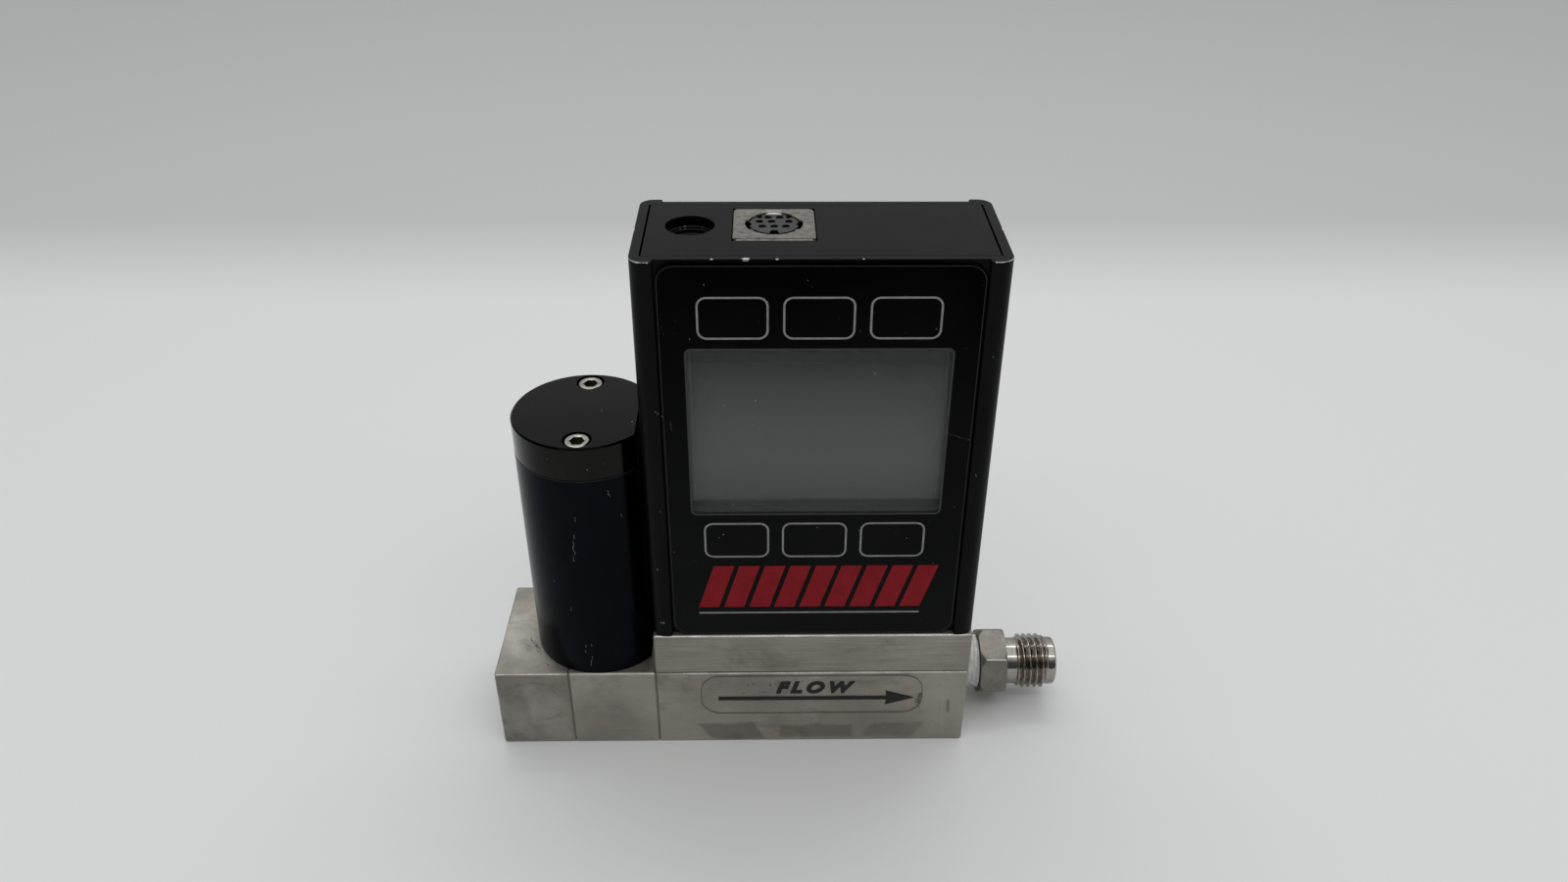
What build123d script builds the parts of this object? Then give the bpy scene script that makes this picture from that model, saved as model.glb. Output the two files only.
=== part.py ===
from build123d import *
from math import sqrt
import os

os.makedirs("parts", exist_ok=True)

# A mass flow controller for gas: three bored blocks bolted end to end carry the flow from an open
# inlet port on the left, past a solenoid valve, through a laminar flow element and out of a
# fitting on the right. A sensor block and a two-shell electronics case stand on the flow body.
# Millimetres. X runs with the flow, Y from the front (display side) to the back, Z up.
# The origin is the middle of the footprint, on the surface that the blocks stand on.

# Base blocks
base_depth = 26.67
base_height = 18.4
inlet_length = 14.3
valve_block_length = 16.95
flow_length = 60.96
sensor_block_height = 9.5
edge_break = 0.3

# Gas path
port_height = 8.9
port_radius = 4.7
port_depth = 9.0
port_chamfer = 0.8
passage_radius = 1.6
outlet_passage_radius = 2.2
tap_radius = 1.0
element_bore_radius = 5.2
element_start = 12.0
element_length = 28.0
element_slots = 20
slot_width = 0.6
slot_depth = 2.4
retainer_length = 1.6
retainer_hole_radius = 3.4
gallery_length = 6.0
gallery_radius = 4.6
tap_inset = 7.2

# Outlet fitting, from the flow body's end outwards
engaged_length = 8.0
stub_length = 4.3
stub_radius = 4.6
tape_thickness = 0.25
hex_length = 5.3
hex_flats = 12.7
hex_chamfer = 0.7
hex_corner_relief = 0.1
hex_turn = 17.0
neck_length = 2.0
neck_radius = 4.75
thread_radius = 5.56
thread_root_radius = 4.85
thread_pitch = 1.27
thread_turns = 5
crest_flat = 0.15
nose_length = 2.1
nose_radius = 4.87
nose_chamfer = 0.35
face_recess_radius = 4.1
face_recess_depth = 0.9
bead_radius = 3.2
bead_height = 0.6
fitting_bore_radius = 2.29

# Solenoid valve
valve_setback = 11.17
valve_gap = 1.1
can_inset = 0.235
can_height = 45.1
cap_height = 6.7
can_bore_land = 0.58
can_floor = 2.0
cap_boss = 3.0
valve_screw_inset = 3.1
screw_head_radius = 2.25
screw_head_height = 2.8
screw_shank_radius = 1.42
screw_socket_flats = 2.4
screw_socket_depth = 1.6
counterbore_radius = 2.6
counterbore_depth = 2.9
valve_screw_bite = 9.0
tube_flange_width = 1.65
tube_flange_height = 1.5
tube_inset = 0.4
tube_wall = 0.4
tube_height = 32.0
gallery_pocket_depth = 1.7
riser_inset = 0.6
riser_radius = 0.7
seat_radius = 1.7
seat_length = 5.6
seat_lip = 0.9
seat_step = 0.5
orifice_radius = 0.7
plunger_fit = 0.07
plunger_travel = 0.4
core_air_gap = 0.1
plunger_groove = 0.6
seal_radius = 1.9
seal_thickness = 1.2
seal_stand_out = 0.15
plunger_length = 19.0
spring_pocket_radius = 1.8
spring_pocket_depth = 5.0
spring_wire_radius = 0.2
spring_coil_radius = 1.35
spring_turns = 5
bobbin_wall = 0.6
bobbin_flange = 1.2
winding_inset = 0.5

# Electronics case
case_depth = 26.5
case_height = 77.0
case_corner = 2.4
side_wall = 1.6
flange_width = 3.8
front_recess = 1.25
front_wall = 1.25
back_recess = 1.0
back_wall = 1.4
flange_corner = 0.5
seam_round = 0.65
spigot_height = 3.6
plate_thickness = 3.0
plate_end_gap = 0.35
tab_width = 8.0
tab_depth = 2.6
tab_drop = 6.6
case_screw_inset = 9.1
case_screw_drop = 4.9
case_screw_radius = 1.0
case_screw_length = 3.4
case_screw_head_radius = 1.75
case_screw_head_height = 0.9
cross_length = 2.0
cross_width = 0.4
cross_depth = 0.5
spigot_screw_height = 1.9

# Display and keypad
window_length = 44.15
window_height = 33.25
window_rise = 44.8
window_corner = 1.0
opening_margin = 1.2
overlay_thickness = 0.8
overlay_side_gap = 0.25
overlay_top_gap = 0.6
overlay_foot_gap = 0.15
overlay_corner = 3.0
key_pitch = 14.05
key_row_low = 22.4
key_row_high = 67.05
dome_radius = 3.4
dome_rise = 0.35
dome_sheet = 0.12
tail_width = 14.0
tail_thickness = 0.3
tail_rise = 13.0
glass_margin = 3.0
glass_thickness = 1.8
tray_depth = 5.0
tray_gap = 0.8
tray_margin = 1.2

# Boards
board_thickness = 1.6
board_length = 51.0
main_board_y = 4.4
main_board_clearance = 1.4
io_board_rise = 60.4
io_board_gap = 0.5
io_board_lead = 0.3
standoff_radius = 2.2
standoff_inset = 4.0
stud_radius = 1.0
stud_bite = 2.0
sensor_board_depth = 18.0
header_length = 12.0
header_depth = 2.4
header_height = 4.5
chip_size = 12.0
chip_rise = 36.0
chip_thickness = 1.4

# Sockets in the top plate
jack_x = 9.1
jack_back_gap = 4.68
jack_hole_radius = 4.15
jack_bore_radius = 3.15
jack_bore_depth = 9.4
jack_width = 10.6
jack_depth = 9.0
jack_pin_radius = 1.0
jack_pin_drop = 5.0
connector_x = 23.1
connector_back_gap = 1.8
connector_size = 13.9
connector_sink = 0.3
shield_wall = 0.4
shield_round_radius = 4.75
insert_radius = 4.35
insert_sink = 0.5
contact_hole_radius = 0.42
contact_depth = 3.0
key_notch_width = 2.0
side_notch_width = 1.1
side_notch_start = 25
side_notch_span = 130

# Sensors and small parts
sensor_radius = 4.5
sensor_height = 5.6
sensor_step = 1.0
sensor_pocket = 2.0
ring_section = 0.75
seal_land = 1.0
body_seal_land = 0.7
tap_seal_land = 0.6
drill_allowance = 1.0
tie_spread = 9.3
tie_height = 4.2
tie_bite = 8.0
corner_screw_inset = 5.0
corner_screw_spread = 7.6
corner_screw_bite = 6.0
mount_hole_radius = 1.75
mount_hole_depth = 7.0
mount_spacing_x = 38.1
mount_spacing_y = 19.05
lead_height = 34.0
lead_y = 2.6
lead_pitch = 1.5
lead_radius = 0.55
lead_hole_radius = 1.9
grommet_wall = 0.5
grommet_lip = 0.4
plug_inset = 7.0
plug_length = 6.0
plug_depth = 3.2
plug_height = 6.0
label_length = 43.6
label_height = 10.0
label_centre = 12.6
label_corner = 3.8
label_thickness = 0.1

# Fits
slide_fit = 0.1
bore_fit = 0.05
hole_fit = 0.2
ring_fit = 0.02

# Derived places
thread_length = thread_turns * thread_pitch
fitting_reach = stub_length + hex_length + neck_length + thread_length + nose_length
overall_length = inlet_length + valve_block_length + flow_length + fitting_reach
inlet_left = -overall_length / 2
valve_left = inlet_left + inlet_length
flow_left = valve_left + valve_block_length
flow_right = flow_left + flow_length
flow_middle = flow_left + flow_length / 2
valve_x = flow_left - valve_setback
can_flat = valve_setback - valve_gap
can_radius = base_depth / 2 - can_inset
valve_screw_spread = can_radius - valve_screw_inset
can_bore_radius = valve_screw_spread - screw_shank_radius - hole_fit - can_bore_land
tube_radius = can_bore_radius / 2 - tube_inset
tube_flange_radius = tube_radius + tube_flange_width
gallery_pocket_radius = tube_radius + hole_fit
riser_offset = gallery_pocket_radius - riser_inset
base_front = -base_depth / 2
case_bottom = base_height + sensor_block_height
case_top = case_bottom + case_height
case_front = -case_depth / 2
case_back = case_depth / 2
recess_floor = case_front + front_recess
cavity_front = recess_floor + front_wall
cavity_back = case_back - back_recess - back_wall
cavity_depth = cavity_back - cavity_front
cavity_y = (cavity_front + cavity_back) / 2
cavity_length = flow_length - 2 * side_wall
recess_length = flow_length - 2 * flange_width
window_z = case_bottom + window_rise
connector_y = cavity_back - connector_back_gap - connector_size / 2
connector_front = connector_y - connector_size / 2
jack_y = cavity_back - jack_back_gap - jack_depth / 2
element_left = flow_left + element_start
element_right = element_left + element_length
gallery_right = element_right + gallery_length
inlet_tap = flow_left + tap_inset
outlet_tap = element_right + gallery_length / 2
taps = [(inlet_tap, 0), (outlet_tap, 0)]
spigot_top = case_bottom + spigot_height
can_top = base_height + can_height
cap_top = can_top + cap_height
plate_bottom = case_top - plate_thickness
io_bottom = case_bottom + io_board_rise
io_top = io_bottom + board_thickness


def left_face(x):
    """Plane whose normal points to -X, with local x along -Y and local y along +Z."""
    return Plane(origin=(x, 0, 0), x_dir=(0, -1, 0), z_dir=(-1, 0, 0))


def cap_screws(seat, spots, shank_length):
    """Socket-head cap screws whose heads stand on the seat plane."""
    with BuildPart() as screws:
        with BuildSketch(seat):
            with Locations(*spots):
                Circle(screw_head_radius)
        extrude(amount=screw_head_height)
        with BuildSketch(seat.offset(screw_head_height)):
            with Locations(*spots):
                RegularPolygon(screw_socket_flats / 2, 6, major_radius=False)
        extrude(amount=-screw_socket_depth, mode=Mode.SUBTRACT)
        with BuildSketch(seat):
            with Locations(*spots):
                Circle(screw_shank_radius)
        extrude(amount=-shank_length)
    return screws.part


def tapered_pins(surface, spots, slack, length):
    """Countersunk screw blanks flush with the surface plane, made larger all round by slack."""
    with BuildPart() as pins:
        with Locations(surface):
            with Locations(*[(u, v, -case_screw_head_height / 2) for u, v in spots]):
                Cone(case_screw_radius + slack, case_screw_head_radius + slack, case_screw_head_height)
            with Locations(*[(u, v, -length / 2) for u, v in spots]):
                Cylinder(case_screw_radius + slack, length)
    return pins.part


def seal_rings(middle_plane, spots, middle_radius, half_width):
    """Rubber rings as thick as they are wide, with bevelled edges, centred on the plane."""
    with BuildPart() as rings:
        with BuildSketch(middle_plane.offset(-half_width)):
            with Locations(*spots):
                Circle(middle_radius + half_width)
                Circle(middle_radius - half_width, mode=Mode.SUBTRACT)
        extrude(amount=2 * half_width)
        chamfer(rings.edges().filter_by(GeomType.CIRCLE), half_width / 2)
    return rings.part


# Inlet block: an open pipe-thread port in the left face and a narrow passage to the valve block.
tie_spots = [(-tie_spread, tie_height), (tie_spread, tie_height)]
with BuildPart() as inlet_block:
    with BuildSketch():
        with Locations((inlet_left + inlet_length / 2, 0)):
            Rectangle(inlet_length, base_depth)
    extrude(amount=base_height)
    chamfer(inlet_block.edges(), edge_break)
    with Locations(left_face(inlet_left)):
        with Locations((0, port_height)):
            Hole(port_radius, port_depth)
            Hole(passage_radius, inlet_length)
        with Locations(*tie_spots):
            CounterBoreHole(
                screw_shank_radius + hole_fit, counterbore_radius, counterbore_depth, inlet_length
            )
    mouth = inlet_block.edges().filter_by(GeomType.CIRCLE).filter_by(
        lambda edge: abs(edge.radius - port_radius) < 0.01 and edge.center().X < inlet_left + 0.01
    )
    chamfer(mouth, port_chamfer)
    with BuildSketch(Plane.YZ.offset(valve_left)):
        with Locations((0, port_height)):
            Circle(passage_radius + seal_land + 2 * ring_section)
            Circle(passage_radius + seal_land, mode=Mode.SUBTRACT)
    extrude(amount=-2 * ring_section, mode=Mode.SUBTRACT)
inlet_block.part.label = "inlet_block"
export_step(inlet_block.part, "parts/inlet_block.step")

# Valve block: gas rises beside the seat into the gallery under the plunger and drops through the
# orifice into the outlet passage.
gallery_floor = base_height - tube_flange_height - gallery_pocket_depth
seat_top = gallery_floor + seat_lip
seat_bottom = seat_top - seat_length
with BuildPart() as valve_block:
    with BuildSketch():
        with Locations((valve_left + valve_block_length / 2, 0)):
            Rectangle(valve_block_length, base_depth)
    extrude(amount=base_height)
    chamfer(valve_block.edges(), edge_break)
    with Locations((valve_x, 0, base_height)):
        CounterBoreHole(
            gallery_pocket_radius,
            tube_flange_radius + bore_fit,
            tube_flange_height,
            tube_flange_height + gallery_pocket_depth,
        )
        Hole(seat_radius + ring_fit, base_height - seat_bottom)
        Hole(orifice_radius + seat_step, base_height - port_height)
    with Locations((valve_x - riser_offset, 0, base_height)):
        Hole(riser_radius, base_height - port_height)
    with Locations((valve_x, -valve_screw_spread, base_height), (valve_x, valve_screw_spread, base_height)):
        Hole(screw_shank_radius + bore_fit, valve_screw_bite + drill_allowance)
    with Locations(left_face(valve_left)):
        with Locations((0, port_height)):
            Hole(passage_radius, valve_x - riser_offset + riser_radius - valve_left)
        with Locations(*tie_spots):
            Hole(screw_shank_radius + hole_fit, valve_block_length)
    with BuildSketch(Plane.YZ.offset(valve_x - orifice_radius)):
        with Locations((0, port_height)):
            Circle(passage_radius)
    extrude(amount=flow_left - valve_x + orifice_radius, mode=Mode.SUBTRACT)
    step_ring_radius = (gallery_pocket_radius + tube_flange_radius) / 2
    with BuildSketch(Plane.XY.offset(base_height - tube_flange_height)):
        with Locations((valve_x, 0)):
            Circle(step_ring_radius + ring_section / 2 + ring_fit)
            Circle(step_ring_radius - ring_section / 2 - ring_fit, mode=Mode.SUBTRACT)
    extrude(amount=-ring_section - ring_fit, mode=Mode.SUBTRACT)
valve_block.part.label = "valve_block"
export_step(valve_block.part, "parts/valve_block.step")

# Flow body: a stepped bore for the laminar flow element, two pressure taps up to the sensor block,
# the outlet port and four tapped mounting holes underneath.
mount_grid = (mount_spacing_x, mount_spacing_y)
corner_spots = [
    (flow_middle + side * (flow_length / 2 - corner_screw_inset), row * corner_screw_spread)
    for side in (-1, 1)
    for row in (-1, 1)
]
seal_groove_radius = element_bore_radius + body_seal_land
with BuildPart() as flow_body:
    with BuildSketch():
        with Locations((flow_middle, 0)):
            Rectangle(flow_length, base_depth)
    extrude(amount=base_height)
    chamfer(flow_body.edges(), edge_break)
    with Locations(left_face(flow_left)):
        with Locations((0, port_height)):
            Hole(element_bore_radius, element_right - flow_left)
            Hole(gallery_radius, gallery_right - flow_left)
            Hole(outlet_passage_radius, flow_length)
        with Locations(*tie_spots):
            Hole(screw_shank_radius + bore_fit, tie_bite + drill_allowance)
    with BuildSketch(Plane.YZ.offset(flow_right)):
        with Locations((0, port_height)):
            Circle(stub_radius + bore_fit)
    extrude(amount=-engaged_length - drill_allowance, mode=Mode.SUBTRACT)
    with Locations(*[(x, y, base_height) for x, y in taps]):
        Hole(tap_radius, base_height - port_height)
    with Locations(*[(x, y, base_height) for x, y in corner_spots]):
        Hole(screw_shank_radius + bore_fit, corner_screw_bite + drill_allowance)
    with BuildSketch():
        with Locations((flow_middle, 0)):
            with GridLocations(*mount_grid, 2, 2):
                Circle(mount_hole_radius)
    extrude(amount=mount_hole_depth, mode=Mode.SUBTRACT)
    with BuildSketch(Plane.YZ.offset(flow_left)):
        with Locations((0, port_height)):
            Circle(seal_groove_radius + 2 * ring_section)
            Circle(seal_groove_radius, mode=Mode.SUBTRACT)
    extrude(amount=2 * ring_section, mode=Mode.SUBTRACT)
flow_body.part.label = "flow_body"
export_step(flow_body.part, "parts/flow_body.step")

# Sensor block: carries the case on its shoulder and locates both shells round its spigot.
spigot_length = cavity_length - 2 * slide_fit
spigot_depth = cavity_depth - 2 * slide_fit
case_screw_xs = [flow_left + case_screw_inset, flow_right - case_screw_inset]
spigot_screw_z = case_bottom + spigot_screw_height
with BuildPart() as sensor_block:
    with BuildSketch(Plane.XY.offset(base_height)):
        with Locations((flow_middle, 0)):
            Rectangle(flow_length, base_depth)
    extrude(amount=sensor_block_height)
    chamfer(sensor_block.edges(), edge_break)
    with BuildSketch(Plane.XY.offset(case_bottom)):
        with Locations((flow_middle, cavity_y)):
            Rectangle(spigot_length, spigot_depth)
    extrude(amount=spigot_height)
    with Locations(*[(x, y, spigot_top) for x, y in taps]):
        CounterBoreHole(tap_radius, sensor_radius + bore_fit, sensor_pocket, spigot_top - base_height)
    with Locations(*[(x, y, spigot_top) for x, y in corner_spots]):
        CounterBoreHole(
            screw_shank_radius + hole_fit, counterbore_radius, counterbore_depth, spigot_top - base_height
        )
    for face_y, way in ((cavity_front + slide_fit, -1), (cavity_back - slide_fit, 1)):
        with BuildSketch(Plane.XZ.offset(-face_y)):
            with Locations(*[(x, spigot_screw_z) for x in case_screw_xs]):
                Circle(case_screw_radius + bore_fit)
        extrude(amount=way * case_screw_length, mode=Mode.SUBTRACT)
    for level, way in ((base_height, 1), (spigot_top - sensor_pocket, -1)):
        with BuildSketch(Plane.XY.offset(level)):
            with Locations(*taps):
                Circle(tap_radius + tap_seal_land + 2 * ring_section)
                Circle(tap_radius + tap_seal_land, mode=Mode.SUBTRACT)
        extrude(amount=way * 2 * ring_section, mode=Mode.SUBTRACT)
sensor_block.part.label = "sensor_block"
export_step(sensor_block.part, "parts/sensor_block.step")

# Laminar flow element: a round core whose straight slots split the gas into thin parallel streams.
element_radius = element_bore_radius - bore_fit
with BuildPart() as flow_element:
    with BuildSketch(Plane.YZ.offset(element_left)):
        with Locations((0, port_height)):
            Circle(element_radius)
            with PolarLocations(element_radius, element_slots):
                Rectangle(2 * slot_depth, slot_width, mode=Mode.SUBTRACT)
    extrude(amount=element_length)
flow_element.part.label = "flow_element"
export_step(flow_element.part, "parts/flow_element.step")

with BuildPart() as element_retainer:
    with BuildSketch(Plane.YZ.offset(element_left)):
        with Locations((0, port_height)):
            Circle(element_bore_radius - ring_fit)
            Circle(retainer_hole_radius, mode=Mode.SUBTRACT)
    extrude(amount=-retainer_length)
element_retainer.part.label = "element_retainer"
export_step(element_retainer.part, "parts/element_retainer.step")

# Seals between the blocks, each in its own groove.
ring_half_width = ring_section - ring_fit
inlet_seal = seal_rings(
    Plane.YZ.offset(valve_left - ring_section),
    [(0, port_height)],
    passage_radius + seal_land + ring_section,
    ring_half_width,
)
inlet_seal.label = "inlet_seal"
export_step(inlet_seal, "parts/inlet_seal.step")

body_seal = seal_rings(
    Plane.YZ.offset(flow_left + ring_section),
    [(0, port_height)],
    seal_groove_radius + ring_section,
    ring_half_width,
)
body_seal.label = "body_seal"
export_step(body_seal, "parts/body_seal.step")

tap_ring_radius = tap_radius + tap_seal_land + ring_section
lower_rings = seal_rings(
    Plane.XY.offset(base_height + ring_section), taps, tap_ring_radius, ring_half_width
)
upper_rings = seal_rings(
    Plane.XY.offset(spigot_top - sensor_pocket - ring_section), taps, tap_ring_radius, ring_half_width
)
with BuildPart() as tap_seals:
    add(lower_rings)
    add(upper_rings)
tap_seals.part.label = "tap_seals"
export_step(tap_seals.part, "parts/tap_seals.step")

# Screws that hold the three base blocks together, and those that hold down the sensor block.
tie_seat = inlet_left + counterbore_depth
tie_screws = cap_screws(left_face(tie_seat), tie_spots, flow_left + tie_bite - tie_seat)
tie_screws.label = "tie_screws"
export_step(tie_screws, "parts/tie_screws.step")

corner_seat = spigot_top - counterbore_depth
sensor_block_screws = cap_screws(
    Plane.XY.offset(corner_seat), corner_spots, corner_seat - base_height + corner_screw_bite
)
sensor_block_screws.label = "sensor_block_screws"
export_step(sensor_block_screws, "parts/sensor_block_screws.step")

# Outlet fitting: pipe thread in the block, hexagon, undercut neck, fine outer thread and a nose
# whose end face has a raised sealing bead in a shallow recess.
hex_left = flow_right + stub_length
hex_right = hex_left + hex_length
neck_right = hex_right + neck_length
thread_right = neck_right + thread_length
nose_right = thread_right + nose_length
hex_corner = hex_flats / sqrt(3)
fitting_axis = Axis((0, 0, port_height), (1, 0, 0))
thread_profile = []
for turn in range(thread_turns):
    root_x = neck_right + turn * thread_pitch
    thread_profile.append((root_x, thread_root_radius))
    thread_profile.append((root_x + (thread_pitch - crest_flat) / 2, thread_radius))
    thread_profile.append((root_x + (thread_pitch + crest_flat) / 2, thread_radius))
turned_profile = [
    (flow_right - engaged_length, 0),
    (flow_right - engaged_length, stub_radius),
    (hex_left + hex_chamfer, stub_radius),
    (hex_right - hex_chamfer, neck_radius),
    (neck_right, neck_radius),
    *thread_profile,
    (thread_right, nose_radius),
    (nose_right - nose_chamfer, nose_radius),
    (nose_right, nose_radius - nose_chamfer),
    (nose_right, 0),
]
hex_envelope = [
    (hex_left, 0),
    (hex_left, hex_corner - hex_chamfer),
    (hex_left + hex_chamfer / 2, hex_corner - hex_corner_relief),
    (hex_right - hex_chamfer / 2, hex_corner - hex_corner_relief),
    (hex_right, hex_corner - hex_chamfer),
    (hex_right, 0),
]
axis_plane = Plane.XZ * Pos(0, port_height, 0)
with BuildPart() as outlet_fitting:
    with BuildSketch(Plane.YZ.offset(hex_left)):
        with Locations((0, port_height)):
            RegularPolygon(hex_flats / 2, 6, major_radius=False, rotation=hex_turn)
    extrude(amount=hex_length)
    with BuildSketch(axis_plane):
        with BuildLine():
            Polyline(*hex_envelope, close=True)
        make_face()
    revolve(axis=fitting_axis, mode=Mode.INTERSECT)
    with BuildSketch(axis_plane):
        with BuildLine():
            Polyline(*turned_profile, close=True)
        make_face()
    revolve(axis=fitting_axis)
    with BuildSketch(Plane.YZ.offset(nose_right)):
        with Locations((0, port_height)):
            Circle(face_recess_radius)
    extrude(amount=-face_recess_depth, mode=Mode.SUBTRACT)
    with BuildSketch(Plane.YZ.offset(nose_right - face_recess_depth)):
        with Locations((0, port_height)):
            Circle(bead_radius + bead_height / 2)
            Circle(bead_radius - bead_height / 2, mode=Mode.SUBTRACT)
    extrude(amount=bead_height)
    with BuildSketch(Plane.YZ.offset(nose_right)):
        with Locations((0, port_height)):
            Circle(fitting_bore_radius)
    extrude(amount=-(nose_right - flow_right + engaged_length), mode=Mode.SUBTRACT)
outlet_fitting.part.label = "outlet_fitting"
export_step(outlet_fitting.part, "parts/outlet_fitting.step")

with BuildPart() as thread_tape:
    with BuildSketch(Plane.YZ.offset(flow_right)):
        with Locations((0, port_height)):
            Circle(stub_radius + tape_thickness)
            Circle(stub_radius + ring_fit, mode=Mode.SUBTRACT)
    extrude(amount=stub_length)
thread_tape.part.label = "thread_tape"
export_step(thread_tape.part, "parts/thread_tape.step")

# Clear film on the flow body's front that carries the flow arrow.
with BuildPart() as flow_label:
    with BuildSketch(Plane.XZ.offset(-base_front)):
        with Locations((flow_middle, label_centre)):
            RectangleRounded(label_length, label_height, label_corner)
    extrude(amount=label_thickness)
flow_label.part.label = "flow_label"
export_step(flow_label.part, "parts/flow_label.step")

# Valve can and cap: one turned outline with a flat milled beside the case.
valve_screw_spots = [(valve_x, -valve_screw_spread), (valve_x, valve_screw_spread)]
with BuildSketch() as can_plan:
    with Locations((valve_x, 0)):
        Circle(can_radius)
    with Locations((valve_x + can_flat + can_radius / 2, 0)):
        Rectangle(can_radius, 2 * can_radius, mode=Mode.SUBTRACT)

with BuildPart() as valve_housing:
    with BuildSketch(Plane.XY.offset(base_height)):
        add(can_plan.sketch)
    extrude(amount=can_height)
    with Locations((valve_x, 0, can_top)):
        CounterBoreHole(tube_radius + bore_fit, can_bore_radius, can_height - can_floor, can_height)
    with Locations(*[(x, y, can_top) for x, y in valve_screw_spots]):
        Hole(screw_shank_radius + hole_fit, can_height)
    with BuildSketch(Plane.YZ.offset(valve_x + can_flat)):
        with Locations((lead_y, base_height + lead_height)):
            Circle(lead_hole_radius)
    extrude(amount=-can_flat / 2, mode=Mode.SUBTRACT)
valve_housing.part.label = "valve_housing"
export_step(valve_housing.part, "parts/valve_housing.step")

with BuildPart() as valve_cap:
    with BuildSketch(Plane.XY.offset(can_top)):
        add(can_plan.sketch)
    extrude(amount=cap_height)
    chamfer(valve_cap.edges().group_by(Axis.Z)[-1], edge_break)
    with BuildSketch(Plane.XY.offset(can_top)):
        with Locations((valve_x, 0)):
            Circle(can_bore_radius - slide_fit)
    extrude(amount=-cap_boss)
    with Locations(*[(x, y, cap_top) for x, y in valve_screw_spots]):
        CounterBoreHole(screw_shank_radius + hole_fit, counterbore_radius, counterbore_depth, cap_height)
valve_cap.part.label = "valve_cap"
export_step(valve_cap.part, "parts/valve_cap.step")

valve_screw_seat = cap_top - counterbore_depth
valve_screws = cap_screws(
    Plane.XY.offset(valve_screw_seat),
    valve_screw_spots,
    valve_screw_seat - base_height + valve_screw_bite,
)
valve_screws.label = "valve_screws"
export_step(valve_screws, "parts/valve_screws.step")

# Coil on its bobbin, round the pressure-tight core tube.
bobbin_bottom = base_height + can_floor + slide_fit
bobbin_top = can_top - cap_boss - slide_fit
bobbin_radius = can_bore_radius - slide_fit
bobbin_bore = tube_radius + slide_fit
drum_radius = bobbin_bore + bobbin_wall
winding_radius = bobbin_radius - winding_inset
with BuildPart() as coil_bobbin:
    with BuildSketch(Plane.XY.offset(bobbin_bottom)):
        with Locations((valve_x, 0)):
            Circle(bobbin_radius)
    extrude(amount=bobbin_top - bobbin_bottom)
    with BuildSketch(Plane.XY.offset(bobbin_bottom + bobbin_flange)):
        with Locations((valve_x, 0)):
            Circle(bobbin_radius + slide_fit)
            Circle(drum_radius, mode=Mode.SUBTRACT)
    extrude(amount=bobbin_top - bobbin_bottom - 2 * bobbin_flange, mode=Mode.SUBTRACT)
    with Locations((valve_x, 0, bobbin_top)):
        Hole(bobbin_bore, bobbin_top - bobbin_bottom)
coil_bobbin.part.label = "coil_bobbin"
export_step(coil_bobbin.part, "parts/coil_bobbin.step")

with BuildPart() as coil_winding:
    with BuildSketch(Plane.XY.offset(bobbin_bottom + bobbin_flange)):
        with Locations((valve_x, 0)):
            Circle(winding_radius)
            Circle(drum_radius + ring_fit, mode=Mode.SUBTRACT)
    extrude(amount=bobbin_top - bobbin_bottom - 2 * bobbin_flange)
coil_winding.part.label = "coil_winding"
export_step(coil_winding.part, "parts/coil_winding.step")

tube_bore = tube_radius - tube_wall
plunger_radius = tube_bore - plunger_fit
with BuildPart() as core_tube:
    with BuildSketch(Plane.XY.offset(base_height - tube_flange_height)):
        with Locations((valve_x, 0)):
            Circle(tube_flange_radius)
    extrude(amount=tube_flange_height)
    with BuildSketch(Plane.XY.offset(base_height)):
        with Locations((valve_x, 0)):
            Circle(tube_radius)
    extrude(amount=tube_height)
    with Locations((valve_x, 0, base_height + tube_height)):
        Hole(tube_bore, tube_height + tube_flange_height)
core_tube.part.label = "core_tube"
export_step(core_tube.part, "parts/core_tube.step")

valve_seal = seal_rings(
    Plane.XY.offset(base_height - tube_flange_height - ring_section / 2),
    [(valve_x, 0)],
    step_ring_radius,
    ring_section / 2 - ring_fit,
)
valve_seal.label = "valve_seal"
export_step(valve_seal, "parts/valve_seal.step")

# Valve seat, pressed into the block, with a narrow lip round the orifice.
with BuildPart() as valve_seat:
    with BuildSketch(Plane.XY.offset(seat_bottom)):
        with Locations((valve_x, 0)):
            Circle(seat_radius)
    extrude(amount=seat_length)
    chamfer(valve_seat.edges().group_by(Axis.Z)[-1], seat_lip / 2)
    with Locations((valve_x, 0, seat_top)):
        Hole(orifice_radius, seat_length)
valve_seat.part.label = "valve_seat"
export_step(valve_seat.part, "parts/valve_seat.step")

# Plunger: rests on the seat through its rubber disc and rises when the coil is driven.
plunger_bottom = seat_top + ring_fit + seal_stand_out
plunger_top = plunger_bottom + plunger_length
core_bottom = plunger_top + plunger_travel + core_air_gap
with BuildPart() as valve_plunger:
    with BuildSketch(Plane.XY.offset(plunger_bottom)):
        with Locations((valve_x, 0)):
            Circle(plunger_radius)
            with PolarLocations(plunger_radius, 4):
                Rectangle(plunger_groove, plunger_groove, mode=Mode.SUBTRACT)
    extrude(amount=plunger_length)
    with BuildSketch(Plane.XY.offset(plunger_bottom)):
        with Locations((valve_x, 0)):
            Circle(seal_radius + ring_fit)
    extrude(amount=seal_thickness - seal_stand_out, mode=Mode.SUBTRACT)
    with BuildSketch(Plane.XY.offset(plunger_top)):
        with Locations((valve_x, 0)):
            Circle(spring_pocket_radius)
    extrude(amount=-spring_pocket_depth, mode=Mode.SUBTRACT)
valve_plunger.part.label = "valve_plunger"
export_step(valve_plunger.part, "parts/valve_plunger.step")

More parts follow.
